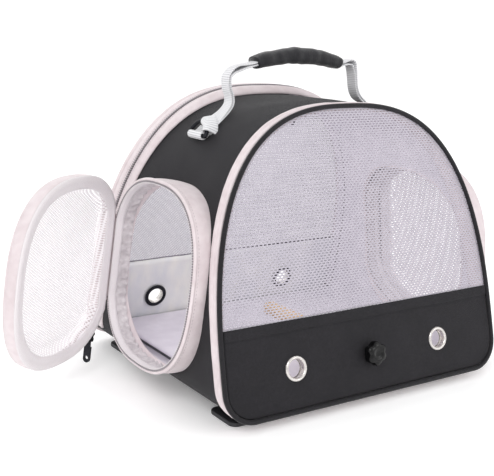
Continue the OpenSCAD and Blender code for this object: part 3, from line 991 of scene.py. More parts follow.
@dataclass
class BagWrap(Assembly):
    """The padded black wrap with its lining, trim strip and base edge."""

    around: int = 300
    along: int = 110
    shell: float = 3.0
    front_gap: float = 3.4
    foot_in: float = 3.5
    slack: float = 1.3
    trim: float = 12.0

    def build(self) -> None:
        """Makes and dresses every piece of the wrap."""
        self.outer()
        self.inner()
        self.trim_strip()
        self.hinge_tape()

    def crease(self, point: Array, share: float, foot: float) -> float:
        """Height of the outer cloth's creases at a point.

        Args:
            point: the point.
            share: way from the front edge to the back edge.
            foot: 0 on the base and 1 above it.

        Returns:
            The height.
        """
        hold = math.sin(math.pi * clamped(share)) ** 0.6
        slow = ripple(point, 62.0, 3.1) * 1.1 + ripple(point, 27.0, 8.4) * 0.45
        drawn = ripple((point[0] * 2.2, point[1] * 0.35, point[2] * 2.2), 21.0, 5.5) * 0.55 * math.exp(-share * 7)
        return (slow * hold * self.slack + drawn) * (0.25 + 0.75 * foot)

    def wall(self, name: str, inset: float, front_in: float, thickness: float, depth: float) -> Piece:
        """Makes one layer of the wrap and opens its two doorways.

        Args:
            name: the piece's name.
            inset: distance inside the piping's outer edge.
            front_in: set-back from the front panel.
            thickness: of the layer.
            depth: share of the creases.

        Returns:
            The layer.
        """
        arch = BAG.arch(inset, self.around)
        height = BAG.floor + arch[:, 1] * math.cos(BAG.lean)
        first = -BAG.panel_y(height, front_in)
        last = np.where(arch[:, 1] < BAG.rim_foot, BAG.panel_y(height, self.foot_in),
                        BAG.panel_y(height, BAG.seam + 0.4))
        t = np.linspace(0.0, 1.0, self.along)[None, :]
        y = first[:, None] * (1 - t) + last[:, None] * t
        grid = np.stack([np.broadcast_to(arch[:, :1], y.shape), y, np.broadcast_to(height[:, None], y.shape)], axis=-1)
        out = grid_normals(grid)
        out *= np.sign((out[..., :1] * grid[..., :1]).sum() + 1e-9)

        def lift(point: Array, i: int, j: int) -> float:
            """Height of the creases."""
            above = clamped((point[2] - (BAG.floor + 12.0)) / 20.0)
            return depth * self.crease(point, j / (self.along - 1), above)

        soft = softened(grid, out, lift)
        piece = thickened(cloth_grid(name, soft, close_u=True, flip=faces_in(soft)), thickness)
        for form in (LEFT, RIGHT):
            border = form.collar(0.9, 120)
            deep = [form.place(with_depth(border, z)) for z in (-70.0, 30.0)]
            cut_away(piece, mended(cloth_grid("hole", np.stack(deep, axis=1), close_u=True), fill=True, merge=False))
        return piece

    def outer(self) -> None:
        """The padded outer cloth."""
        piece = self.wall("wrap_outer", BAG.skin, self.front_gap, self.shell - 0.2, 1.0)
        self.dress(piece, "black", "bag", "black_cloth", "gusset_shell")

    def inner(self) -> None:
        """The lining, with a pale binding where it meets the front panel."""
        piece = self.wall("wrap_lining", BAG.lining + 0.3, 5.6, 0.8, 0.7)
        self.dress(piece, "lining", "bag", "lilac_lining", "gusset_lining")
        arch, outer = BAG.arch(BAG.lining + 1.6, 260), BAG.arch(BAG.skin + 1.0, 260)
        keep = arch[:, 1] > 70
        arch, outer = arch[keep], outer[keep]
        height, top = (BAG.floor + line[:, 1] * math.cos(BAG.lean) for line in (arch, outer))
        rows = [np.stack([outer[:, 0], -BAG.panel_y(top, 3.0), top], axis=1)]
        for inside in (3.3, 9.0, 14.0, 19.0):
            sink = 0.5 * math.sin(inside)
            rows.append(np.stack([arch[:, 0] * (1 - sink / 150), -BAG.panel_y(height, inside), height - sink], axis=1))
        tape = thickened(cloth_grid("lining_edge_tape", np.stack(rows, axis=1)), 0.7, 0.0)
        self.dress(tape, "blush", "bag", "blush_cloth")

    def trim_strip(self) -> None:
        """The pale strip behind the front piping: two soft rolls with a valley between them."""
        arch = BAG.arch(0.0, 360)
        count = len(arch)
        ahead = heading(arch)
        out = np.stack([ahead[:, 1], np.zeros(count), -ahead[:, 0] * math.cos(BAG.lean)], axis=1)
        base = BAG.arch(BAG.skin, count)
        height = BAG.floor + base[:, 1] * math.cos(BAG.lean)
        across = np.linspace(3.4, 3.2 + self.trim, 21)
        rows = []
        for inside in across:
            t = (inside - across[0]) / (across[-1] - across[0])
            if t < 0.36:
                roll = 1.8 * math.sin(math.pi * t / 0.36) ** 0.7
            else:
                roll = 1.5 * math.sin(math.pi * (t - 0.36) / 0.64) ** 0.8
            rows.append(np.stack([base[:, 0], -BAG.panel_y(height, inside), height], axis=1)
                        + unit(out) * (0.35 + abs(roll)))
        grid = np.stack(rows, axis=1)
        grid = softened(grid, np.broadcast_to(unit(out)[:, None], grid.shape),
                        lambda p, i, j: 0.28 * ripple(p, 9.0, 2.0))
        strip = thickened(cloth_grid("front_trim", grid, close_u=True, flip=faces_in(grid)), 0.9)
        self.dress(strip, "blush", "bag", "blush_cloth", "front_trim_strip")

    def hinge_tape(self) -> None:
        """The strip under the base that the back door folds on."""
        half = BAG.width / 2 - BAG.corner
        z = BAG.floor + 1.35
        rows = [[(x, y, z + 0.1 * math.sin(x / 5)) for y in np.linspace(104.0, 127.6, 6)]
                for x in np.linspace(-half, half, 60)]
        tape = thickened(cloth_grid("base_hinge_tape", np.array(rows)), 1.0, 0.0)
        self.dress(tape, "binding", "bag", "black_cloth", "rear_hinge_tape")


# --- front and back panels


class PanelSide(Enum):
    """The two leaning panels."""

    FRONT = "front"
    BACK = "rear"


@dataclass
class WindowPanel(Assembly):
    """A leaning panel: piping, net, lower band with its hem and lining, and two eyelets."""

    side: PanelSide
    body: str
    piping: float = 5.0
    band: float = 77.0
    hem: float = 9.0
    eyelet_x: float = 79.0
    eyelet_up: float = 37.0
    eyelet_r: float = 7.6
    crown_rise: float = 6.0

    @property
    def front(self) -> bool:
        """Whether this is the front panel."""
        return self.side is PanelSide.FRONT

    def place(self, panel: Array) -> Array:
        """Panel points in the bag's frame."""
        return BAG.on_front(panel) if self.front else BAG.on_back(panel)

    def build(self) -> None:
        """Makes and dresses the panel."""
        self.edge_piping()
        self.net()
        self.outer_band()
        self.inner_band()
        self.eyelets()
        self.stitching()

    def edge_piping(self) -> None:
        """A cord in a folded strip round the panel's edge, with its stitched foot."""
        count = 420
        thick = (self.piping - 0.9) / 2 if self.front else self.piping / 2 + 0.5
        arch = BAG.arch(thick if self.front else self.piping / 2, count)
        flat = with_depth(arch, -0.7)
        ahead = heading(arch)
        away = np.column_stack([ahead[:, 1], -ahead[:, 0], np.zeros(count)])
        if not self.front:
            flat += away * (self.crown_rise * np.maximum(0.0, away[:, 1:2]) ** 2)
        outward, _ = directions(self.place)
        path = self.place(flat)
        side = self.place(flat + away) - path
        wobble = np.array([1 + 0.03 * ripple(p, 16.0, 1.5) for p in path])
        turns = circle(20)
        ring = superellipse(turns, thick, thick, 2.3)
        foot = np.where((np.abs(turns - math.pi) < 0.75)[:, None], ring * [0.98, 0.75], ring)
        profile = foot[None] * wobble[:, None, None]
        grid = tube_grid(path, side, np.broadcast_to(outward, path.shape), profile)
        cord = cloth_grid(f"{self.side.value}_edge_piping", grid, close_u=True, close_v=True, flip=self.front)
        self.dress(cord, "binding" if self.front else "blush", self.body,
                   "black_cloth" if self.front else "blush_cloth", f"{self.side.value}_piping")

    def sheet(self, part: str, rows: Array, lift: Callable[[float, float], float], flip: bool) -> Piece:
        """A sheet on the panel, with its flat coordinates as its UV map.

        Args:
            part: what it is, as in the piece's name.
            rows: nu by nv flat points, x and height up the slope.
            lift: gives the distance outwards at a flat point.
            flip: turns the faces over.

        Returns:
            The object.
        """
        nu, nv = rows.shape[:2]
        out = np.array([[lift(*rows[i, j]) for j in range(nv)] for i in range(nu)])
        points = self.place(np.dstack([rows, out[..., None]]))
        cells = grid_cells(nu, nv, flip)
        faces = [[a * nv + b for a, b in cell] for cell in cells]
        uvs = [tuple(rows[a, b]) for cell in cells for a, b in cell]
        return new_piece(f"{self.side.value}_{part}", points.reshape(-1, 3), faces, uvs)

    def window_rows(self, low: float, inset: float, nu: int, nv: int) -> Array:
        """Flat points that fill the arch above a height.

        Args:
            low: height of the straight lower edge.
            inset: distance inside the piping's outer edge.
            nu: points across.
            nv: points up.

        Returns:
            nu by nv rows of x and height up the slope.
        """
        half_low = BAG.width / 2 - inset
        top = BAG.slope_height - inset - BAG.belly + (0.0 if self.front else self.crown_rise)
        base_t = math.asin(min(1.0, ((low - BAG.belly) / top) ** (BAG.power / 2)))

        def rim(share: float) -> tuple[float, float]:
            """Point of the arch's edge."""
            t = base_t + (math.pi - 2 * base_t) * (0.5 - 0.5 * share)
            c, s = math.cos(t), math.sin(t)
            return (half_low * math.copysign(abs(c) ** (2 / BAG.power), c), BAG.belly + top * s ** (2 / BAG.power))

        rows = np.zeros((nu, nv, 2))
        rise = np.linspace(0, 1, nv)
        for i, turn in enumerate(np.linspace(-math.pi / 2, math.pi / 2, nu)):
            share = math.sin(turn)
            x_top, up_top = rim(share)
            rows[i, :, 0] = rim(1)[0] * share * (1 - rise) + x_top * rise
            rows[i, :, 1] = low * (1 - rise) + up_top * rise
        return rows

    def net(self) -> None:
        """The window net, drawn a little outwards by the piping."""
        rows = self.window_rows(self.band - 2.0, self.piping - 1.9, 90, 60)
        middle = (self.band + BAG.slope_height) / 2

        def lift(x: float, up: float) -> float:
            """Distance outwards."""
            far = min(1.0, math.hypot(x / 140, (up - middle) / 88))
            belly = (1 - far ** 2) * (2.6 if self.front else 1.8)
            return -1.6 + belly + 0.5 * ripple((x, up, 0), 45.0, 4.0)

        sheet = self.sheet("window_net", rows, lift, self.front)
        self.dress(sheet, "window_net" if self.front else "rear_net", self.body, "black_net",
                   f"{self.side.value}_mesh")
        sheet.visible_shadow = False
        self.declare(sheet, rows)

    def declare(self, sheet: Piece, rows: Array) -> None:
        """Works out the flat width and length of a sheet's rows, and keeps neither."""
        width = np.ptp(rows[..., 0]) * MM
        length = np.ptp(rows[..., 1]) * MM

    def band_rows(self, top: float, inset: float, nu: int, nv: int) -> Array:
        """Flat points of the lower band, to a straight top edge."""
        half = BAG.width / 2 - inset
        radius = BAG.corner - inset
        out = np.zeros((nu, nv, 2))
        for j, t in enumerate(np.linspace(0, 1, nv)):
            up = inset + (top - inset) * t
            if up < BAG.corner:
                reach = half - radius + math.sqrt(max(0.0, radius ** 2 - (BAG.corner - up) ** 2))
            else:
                rise = (up - BAG.belly) / (BAG.slope_height - inset - BAG.belly)
                reach = half * (1 - max(0.0, rise) ** BAG.power) ** (1 / BAG.power)
            out[:, j, 0] = np.linspace(-reach, reach, nu)
            out[:, j, 1] = up
        return out

    def from_holes(self, x: float, up: float) -> float:
        """Distance from a flat point to the nearest eyelet or the perch's hole."""
        return min(math.hypot(abs(x) - self.eyelet_x, up - self.eyelet_up), math.hypot(x, up - self.eyelet_up))

    def pucker(self, x: float, up: float) -> float:
        """Slow unevenness of the band's cloth, flat at the eyelets."""
        free = clamped((self.from_holes(x, up) - 10) / 25)
        return free * (0.8 * ripple((x, up, 0), 48.0, 6.0) + 0.3 * ripple((x, up * 2, 0), 19.0, 2.0))

    def holes(self, piece: Piece, deep: float) -> None:
        """Cuts the eyelet holes through a band."""
        outward, upward = directions(self.place)
        for s in (-1, 1):
            centre = spot(self.place, s * self.eyelet_x, self.eyelet_up, -deep)
            radius = self.eyelet_r + 0.8
            turned = np.array([[0.01, 0.0], [radius, 0.0], [radius, 2 * deep], [0.01, 2 * deep]])
            cut_away(piece, mended(turned_part("punch", turned, centre, outward, upward, 40), merge=False))

    def outer_band(self) -> None:
        """The black band, with its top edge folded into a hem."""
        rows = self.band_rows(self.band - 0.4, self.piping - 0.4, 150, 50)

        def lift(x: float, up: float) -> float:
            """Distance outwards."""
            rise = clamped((up - (self.band - self.hem)) / 1.6)
            groove = math.exp(-((up - (self.band - self.hem)) / 0.9) ** 2)
            fold = math.exp(-((up - self.band + 0.4) / 0.8) ** 2)
            return -2.3 + 0.9 * rise - 0.8 * groove - 0.5 * fold + self.pucker(x, up)

        sheet = thickened(self.sheet("band_cloth", rows, lift, self.front), 1.5)
        self.holes(sheet, 12.0)
        self.dress(sheet, "black", self.body, "black_cloth", f"{self.side.value}_lower_band")

    def inner_band(self) -> None:
        """The silvery lining of the band, with long diagonal puckers."""
        rows = self.band_rows(self.band - 0.1, self.piping + 0.8, 150, 44)

        def lift(x: float, up: float) -> float:
            """Distance outwards."""
            drape = 1.5 * ripple((x * 0.6 + up, up * 0.7, 0), 24.0, 9.0) + 0.5 * ripple((x, up, 0), 11.0, 3.0)
            hem = 2.3 * math.exp(-((self.band - 0.1 - up) / 2.2) ** 2)
            return -5.0 + hem + drape * clamped((self.from_holes(x, up) - 11) / 14) * 0.8

        sheet = thickened(self.sheet("band_silver", rows, lift, not self.front), 0.5, 0.0)
        self.holes(sheet, 12.0)
        self.dress(sheet, "silver", self.body, "silver_cloth", f"{self.side.value}_band_lining")

    def eyelets(self) -> None:
        """Rolled eyelets: a domed outer flange, a barrel and a washer inside."""
        outward, upward = directions(self.place)
        r = self.eyelet_r
        face = np.linspace(0, math.pi, 16)
        dome = np.column_stack([r + 1.6 - 1.6 * np.cos(face), -0.6 + 1.9 * np.sin(face)])
        barrel = np.array([[r + 1.2, -6.0], [r + 0.9, -1.2]])
        bore = np.array([[r + 0.1, -5.9], [r + 0.4, -6.4], [r + 0.9, -6.4]])
        profile = np.vstack([bore[::-1], barrel, dome[::-1]])
        back = circle(16)
        washer = np.column_stack([r + 2.3 + 2.0 * np.cos(back), -6.1 + 0.75 * np.sin(back)])
        pieces, backs = [], []
        for s in (-1, 1):
            centre = spot(self.place, s * self.eyelet_x, self.eyelet_up, -0.6)
            pieces.append(turned_part("eyelet", profile, centre, outward, upward, 64))
            backs.append(turned_part("washer", washer, centre, outward, upward, 64))
        dark = mended(joined(f"{self.side.value}_eyelet_washers", backs))
        self.dress(dark, "gunmetal", self.body, "gunmetal")
        both = mended(joined(f"{self.side.value}_rolled_eyelets", pieces))
        self.dress(both, "nickel", self.body, "nickel", f"{self.side.value}_eyelets")

    def stitching(self) -> None:
        """The hem's stitch line."""
        up = self.band - self.hem
        half = self.band_rows(up, self.piping + 1.5, 120, 2)[:, 1, 0]
        line = self.place(np.array([(x, up, -1.35 + self.pucker(x, up) * 0.9) for x in half]))
        outward, _ = directions(self.place)
        row = STITCHES.along(f"{self.side.value}_hem_stitches", line, np.broadcast_to(outward, line.shape),
                             3.0, (2.0, 0.5, 0.4))
        self.dress(row, "dark_thread", self.body, "black_cloth")


# --- back door's rim


@dataclass
class ZippedRim(Assembly):
    """The zipped rim round the back: the door's tape, the bag's tape and the teeth between them."""

    count: int = 420
    crown_rise: float = 6.2

    def strip(self, first: float, last: float, lifts: Array) -> tuple[Array, Array]:
        """Grid of a tape that follows the arch, above the base.

        Args:
            first: distance inside the back panel of one edge.
            last: the same for the other edge.
            lifts: heights over the skin, from edge to edge.

        Returns:
            The grid and its outward vectors.
        """
        base = BAG.arch(BAG.skin, self.count)
        ahead = heading(base)
        keep = np.where(base[:, 1] > BAG.rim_foot)[0]
        base, ahead = base[keep], ahead[keep]
        out = unit(np.column_stack([ahead[:, 1], np.zeros(len(base)), -ahead[:, 0] * math.cos(BAG.lean)]))
        height = BAG.floor + base[:, 1] * math.cos(BAG.lean)
        rows = []
        for inside, lift in zip(np.linspace(first, last, len(lifts)), lifts):
            point = np.column_stack([base[:, 0], BAG.panel_y(height, inside), height])
            crown = self.crown_rise * np.maximum(0.0, out[:, 2:3]) ** 2 * min(1.0, (BAG.rim + 1.0 - inside) / 6.0)
            rows.append(point + out * (lift + max(0.0, lift > -1.0) * crown))
        return np.stack(rows, axis=1), out

    def build(self) -> None:
        """Makes both tapes, their teeth and stitches."""
        bulge = 1.3 * np.sin(np.linspace(0, math.pi, 12)) ** 0.7
        flat = np.array([1.0, 1.25, 1.3, 1.3, 1.3, 1.25, 1.5, 1.9, 1.5, 0.7])
        for name, span, lifts, thickness, finish, body, slot, nodes in (
                ("door_rim_tape", (3.6, BAG.seam - 1.4), 1.0 + bulge, 3.6, "blush", "rear_door", "blush_cloth",
                 ["rear_door_rim"]),
                ("door_rim_lining", (4.0, BAG.seam - 1.6), np.full(6, -3.3), 0.5, "lining", "rear_door",
                 "lilac_lining", []),
                ("bag_rim_tape", (BAG.seam + 1.7, BAG.rim + 1.0), flat, 0.9, "blush", "bag", "blush_cloth",
                 ["rear_zip_tape"])):
            grid, _ = self.strip(*span, lifts)
            tape = thickened(cloth_grid(name, grid, flip=faces_in(grid)), thickness)
            self.dress(tape, finish, body, slot, *nodes)
        for name, inside, lift, body in (("door_rim_teeth", BAG.seam - 0.75, 1.6, "rear_door"),
                                         ("bag_rim_teeth", BAG.seam + 1.05, 1.6, "bag"),
                                         ("door_rim_stitches", BAG.seam - 3.6, 2.1, "rear_door"),
                                         ("bag_rim_stitches", BAG.seam + 4.6, 1.65, "bag")):
            line, outward = self.strip(inside, inside + 0.01, np.full(2, lift))
            if name.endswith("teeth"):
                row, thread = TEETH.along(name, line[:, 0], outward, 2.1, (1.15, 1.35, 1.3)), "teeth"
            else:
                row, thread = STITCHES.along(name, line[:, 0], outward, 2.8, (1.8, 0.45, 0.4)), "pale_thread"
            self.dress(row, thread, body, "blush_cloth")


# --- side doorways and doors


@dataclass
class SideDoorway(Assembly):
    """One oval doorway: its collar, gathered lining, zip tape, door and the fold that joins them."""

    form: DoorwayForm
    name: str
    count: int = 200
    collar_deep: int = 16
    binding_r: float = 1.7
    ring_w: float = 10.4
    gather_deep: float = 10.5
    gather_folds: int = 62
    fold_r: float = 2.5
    hinge_half: float = 40.0

    @property
    def door_body(self) -> str:
        """The door's body."""
        return f"{self.name}_door"

    def build(self) -> None:
        """Makes and dresses the doorway and its door."""
        self.collar()
        self.gathers()
        self.collar_tape()
        self.door_wall()
        self.door_tape()
        self.door_net()
        self.door_binding()
        self.hinge()

    def away(self, outline: Array) -> Array:
        """Unit vectors away from the oval's middle, at right angles to its outline."""
        ahead = heading(outline)
        return np.column_stack([ahead[:, 1], -ahead[:, 0]])

    def meets_wrap(self, x: float, y: float, inset: float) -> float:
        """How far inwards the wall at x, y meets a layer of the wrap."""
        low, high = -62.0, 0.0
        for _ in range(24):
            mid = (low + high) / 2
            point = spot(self.form.place, x, y, mid)
            if BAG.inside(point[0], point[2], inset):
                low = mid
            else:
                high = mid
        return low

    def loft(self, part: str, outline: Array, steps: Sequence, closed: bool = False, inward: bool = False) -> Piece:
        """A surface through copies of an outline, on the door where the part's name starts so.

        Args:
            part: what it is, as in the piece's name.
            outline: rows of x, y.
            steps: each copy's distance away from the oval's middle and depth outwards.
            closed: joins the last copy to the first.
            inward: turns the faces to the oval's middle.

        Returns:
            The object.
        """
        place = self.form.place_door if part.startswith("door") else self.form.place
        away = self.away(outline)
        rows = [place(with_depth(outline + away * np.reshape(a, (-1, 1)), z)) for a, z in steps]
        return cloth_grid(f"{self.name}_{part}", np.stack(rows, axis=1), close_u=True, close_v=closed,
                          flip=(self.form.side > 0) != inward)

    def collar(self) -> None:
        """The soft funnel from the wrap to the door's plane, with a rolled lip."""
        outline = self.form.collar(0.2, self.count)
        first = np.array([self.meets_wrap(x, y, BAG.lining + 2.0) for x, y in outline])
        seed = 3.0 if self.form.side < 0 else 7.0

        def lift(k: int, t: float) -> float:
            """Bulge of the wall."""
            point = (outline[k, 0], outline[k, 1], t * 20)
            return 0.9 * math.sin(math.pi * t) + 0.5 * ripple(point, 24.0, seed) * math.sin(math.pi * t)

        steps = [([lift(k, t) for k in range(self.count)], first * (1 - t) - 1.4 * t)
                 for t in np.linspace(0, 1, self.collar_deep)]
        wall = thickened(self.loft("collar_cloth", outline, steps), 1.9)
        self.dress(wall, "blush", "bag", "blush_cloth", f"{self.name}_collar")
        lip = self.ring("collar_lip", self.form.collar(0.6, self.count), -2.0, 1.75, 1.6)
        self.dress(lip, "blush", "bag", "blush_cloth")

    def ring(self, part: str, outline: Array, depth: float, half_w: float, half_h: float) -> Piece:
        """A rolled edge round an outline.

        Args:
            part: what it is, as in the piece's name.
            outline: rows of x, y.
            depth: distance outwards of its middle.
            half_w: half its width across the outline.
            half_h: half its height outwards.

        Returns:
            The object.
        """
        turns = circle(14)
        return self.loft(part, outline, list(zip(half_w * np.cos(turns), depth + half_h * np.sin(turns))), closed=True)

    def gathers(self) -> None:
        """Thin lining gathered into small folds just inside the mouth."""
        count = 720
        outline = self.form.collar(2.4, count)
        seed = 2.0 if self.form.side < 0 else 5.0
        steps = []
        for t in np.linspace(0, 1, 10):
            bulge = []
            for k in range(count):
                slow = ripple((outline[k, 0], outline[k, 1], 30 * t), 15.0, seed)
                phase = 2 * math.pi * self.gather_folds * k / count + 3.2 * slow
                fold = 0.5 + 0.5 * math.sin(phase)
                bulge.append(-(0.4 + (0.3 + 1.3 * t) * fold * (1.15 + 0.7 * slow)) + 0.3 * t)
            steps.append((bulge, -7.2 - self.gather_deep * t))
        piece = self.loft("gathered_lining", outline, steps, inward=True)
        edge = self.form.place(with_depth(outline + self.away(outline) * np.array(bulge)[:, None], steps[-1][1]))
        thickened(piece, 0.35, 0.0)
        # The ruffle finish is darker than the lining to paint the shade of the gathered folds.
        self.dress(piece, "ruffle", "bag", "lilac_lining", f"{self.name}_collar_ruffle")

    def collar_tape(self) -> None:
        """The zip tape inside the mouth, with its teeth and stitches."""
        steps = [(-0.8, -0.2), (-0.9, -3.0), (-1.0, -5.0), (-1.1, -7.6)]
        tape = thickened(self.loft("collar_zip_tape", self.form.collar(2.3, self.count), steps, inward=True), 0.7, 0.0)
        self.dress(tape, "tape", "bag", "blush_cloth", f"{self.name}_collar_tape")
        self.row("collar_teeth", 2.0, -0.55, (1.2, 1.5, 1.0), 2.1)
        self.row("collar_stitches", -0.4, -4.8, (2.0, 0.5, 0.45), 3.0, sideways=True)

    def row(self, part: str, inset: float, depth: float, size: Sequence[float], pitch: float,
            sideways: bool = False) -> None:
        """Lays teeth or stitches round the collar or the door, leaving out the hinge's flat stretch.

        Args:
            part: where they lie and what they are, as in the piece's name.
            inset: distance inside the oval.
            depth: distance outwards.
            size: the unit's length, width and height.
            pitch: distance from unit to unit.
            sideways: whether it faces away from the oval rather than outwards.
        """
        form, on_bag, teeth = self.form, part.startswith("collar"), "teeth" in part
        outline = (form.collar if on_bag else form.door)(inset, 400)
        place = form.place if on_bag else form.place_door
        keep = outline[:, 0] > outline[:, 0].min() + 0.4
        start = int(np.argmax(np.diff(np.concatenate([[keep[-1]], keep]).astype(int)) == 1))
        order = (np.arange(len(outline)) + start) % len(outline)
        order = order[keep[order]]
        line = place(with_depth(outline, depth))[order]
        tips = with_depth(outline + self.away(outline), depth) if sideways else with_depth(outline, depth + 1.0)
        outward = place(tips)[order] - line
        laid = (TEETH if teeth else STITCHES).along(f"{self.name}_{part}", line, outward, pitch, size)
        self.dress(laid, "teeth" if teeth else "pale_thread", "bag" if on_bag else self.door_body, "blush_cloth")

    def door_wall(self) -> None:
        """The door's pale side wall."""
        outline = self.form.door(0.0, self.count)

        def lift(k: int, t: float) -> float:
            """Bulge of the wall."""
            point = (outline[k, 0], outline[k, 1], 10 * t)
            return (0.55 + 0.4 * ripple(point, 22.0, 1.0)) * math.sin(math.pi * t)

        steps = [([lift(k, t) for k in range(self.count)], 0.9 * (1 - t) + (self.form.depth + 0.2) * t)
                 for t in np.linspace(0, 1, 9)]
        wall = thickened(self.loft("door_cloth", outline, steps), 1.5)
        self.dress(wall, "blush", self.door_body, "blush_cloth", f"{self.name}_door_wall")

    def door_tape(self) -> None:
        """The zip tape round the door's mating edge, with teeth and two rows of stitches."""
        w = self.ring_w
        steps = [(0.0, 1.7), (0.5, 0.75), (2.2, 0.55), (4.6, 0.7), (5.2, 1.0), (w - 3.4, 1.2), (w - 1.2, 1.5), (w, 2.3)]
        rows = [self.form.place_door(with_depth(self.form.door(inset, self.count), z)) for inset, z in steps]
        tape = thickened(cloth_grid(f"{self.name}_door_zip_tape", np.stack(rows, axis=1), close_u=True,
                                    flip=self.form.side > 0), 0.7)
        self.dress(tape, "tape", self.door_body, "blush_cloth", f"{self.name}_door_tape")
        self.row("door_teeth", 1.0, 0.55, (1.2, 1.5, 0.9), 2.1)
        for k, inset in enumerate((4.9, w - 2.0)):
            self.row(f"door_stitches_{k}", inset, 0.62 + 0.3 * k, (1.8, 0.5, 0.5), 2.8)

    def filled(self, part: str, border: Array, rings: int, lift: Callable[[float, float, float], float]) -> Piece:
        """A sheet that fills a closed outline on the door with shrinking rings round its middle.

        Args:
            part: what it is, as in the piece's name.
            border: rows of x, y.
            rings: how many rings.
            lift: gives the height at x, y and the share of the way to the border.

        Returns:
            The object.
        """
        middle = border.mean(0)
        count = len(border)
        flat = [[*middle, lift(*middle, 0.0)]]
        for t in (r / rings for r in range(1, rings + 1)):
            flat += [[x, y, lift(x, y, t)] for x, y in middle + (border - middle) * t]
        flat = np.array(flat)
        faces = [[0, 1 + k, 1 + (k + 1) % count] for k in range(count)]
        for r in range(rings - 1):
            a, b = 1 + r * count, 1 + (r + 1) * count
            faces += [[a + k, b + k, b + (k + 1) % count, a + (k + 1) % count] for k in range(count)]
        if self.form.side > 0:
            faces = [f[::-1] for f in faces]
        uvs = [tuple(flat[v][:2]) for f in faces for v in f]
        return new_piece(f"{self.name}_{part}", self.form.place_door(flat), faces, uvs)

    def door_net(self) -> None:
        """The door's net, bowed a little outwards."""
        border = self.form.door(self.ring_w - 0.8, 200)
        deep = self.form.depth - 1.2

        def lift(x: float, y: float, t: float) -> float:
            """Height over the mating plane."""
            wall = clamped((1 - t) / 0.1)
            bowl = deep + 1.6 * (1 - t ** 3) + 0.5 * ripple((x, y, 0), 38.0, 6.0) * (1 - t ** 4)
            return 2.0 + (bowl - 2.0) * math.sin(wall * math.pi / 2)

        net = self.filled("door_net", border, 72, lift)
        self.dress(net, "white_net", self.door_body, "white_net", f"{self.name}_door_mesh")
        net.visible_shadow = False

    def door_binding(self) -> None:
        """The rolled binding that sews the net to the door's wall."""
        binding = self.ring("door_edge", self.form.door(1.7, self.count), self.form.depth + 0.4, 1.9, self.binding_r)
        self.dress(binding, "blush", self.door_body, "blush_cloth", f"{self.name}_door_binding")
        self.row("door_edge_stitches", 4.3, self.form.depth - 0.3, (1.8, 0.45, 0.5), 2.8)

    def hinge(self) -> None:
        """The strip of cloth that the door folds on."""
        bag_side = [(-3.1, -9.0), (-3.2, -6.0), (-3.2, -3.0), (-3.0, -1.0)]
        door_side = [(0.9, 2.6), (0.9, 4.5), (1.0, 7.0), (1.1, 9.0)]
        start, end = math.radians(185), math.radians(112) + self.form.opened
        turns = [start + (end - start) * t for t in np.linspace(0.1, 0.9, 5)]
        fold = [(self.fold_r * math.cos(a), self.fold_r * math.sin(a)) for a in turns]
        columns = []
        for y in np.linspace(-self.hinge_half, self.hinge_half, 34):
            soft = 0.25 * ripple((0, y, 0), 9.0, 2.0)
            near = [spot(self.form.place, x - self.form.hinge + soft, y, z) for x, z in bag_side + fold]
            far = [spot(self.form.place_door, x - self.form.hinge + soft, y, z) for x, z in door_side]
            columns.append(near + far)
        strip = cloth_grid(f"{self.name}_hinge_cloth", np.array(columns), flip=self.form.side < 0)
        smoothed(thickened(strip, 0.8, 0.0))
        strip.data.materials.append(self.finishes["blush"])
        first = spot(self.form.place, -self.form.hinge - 3.0, 0.0, -1.0) * MM
        last = spot(self.form.place_door, -self.form.hinge + 0.9, 0.0, 2.6) * MM
        self.door_body
        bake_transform(strip)
        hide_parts(f"{self.name}_hinge_fold")


# --- handle


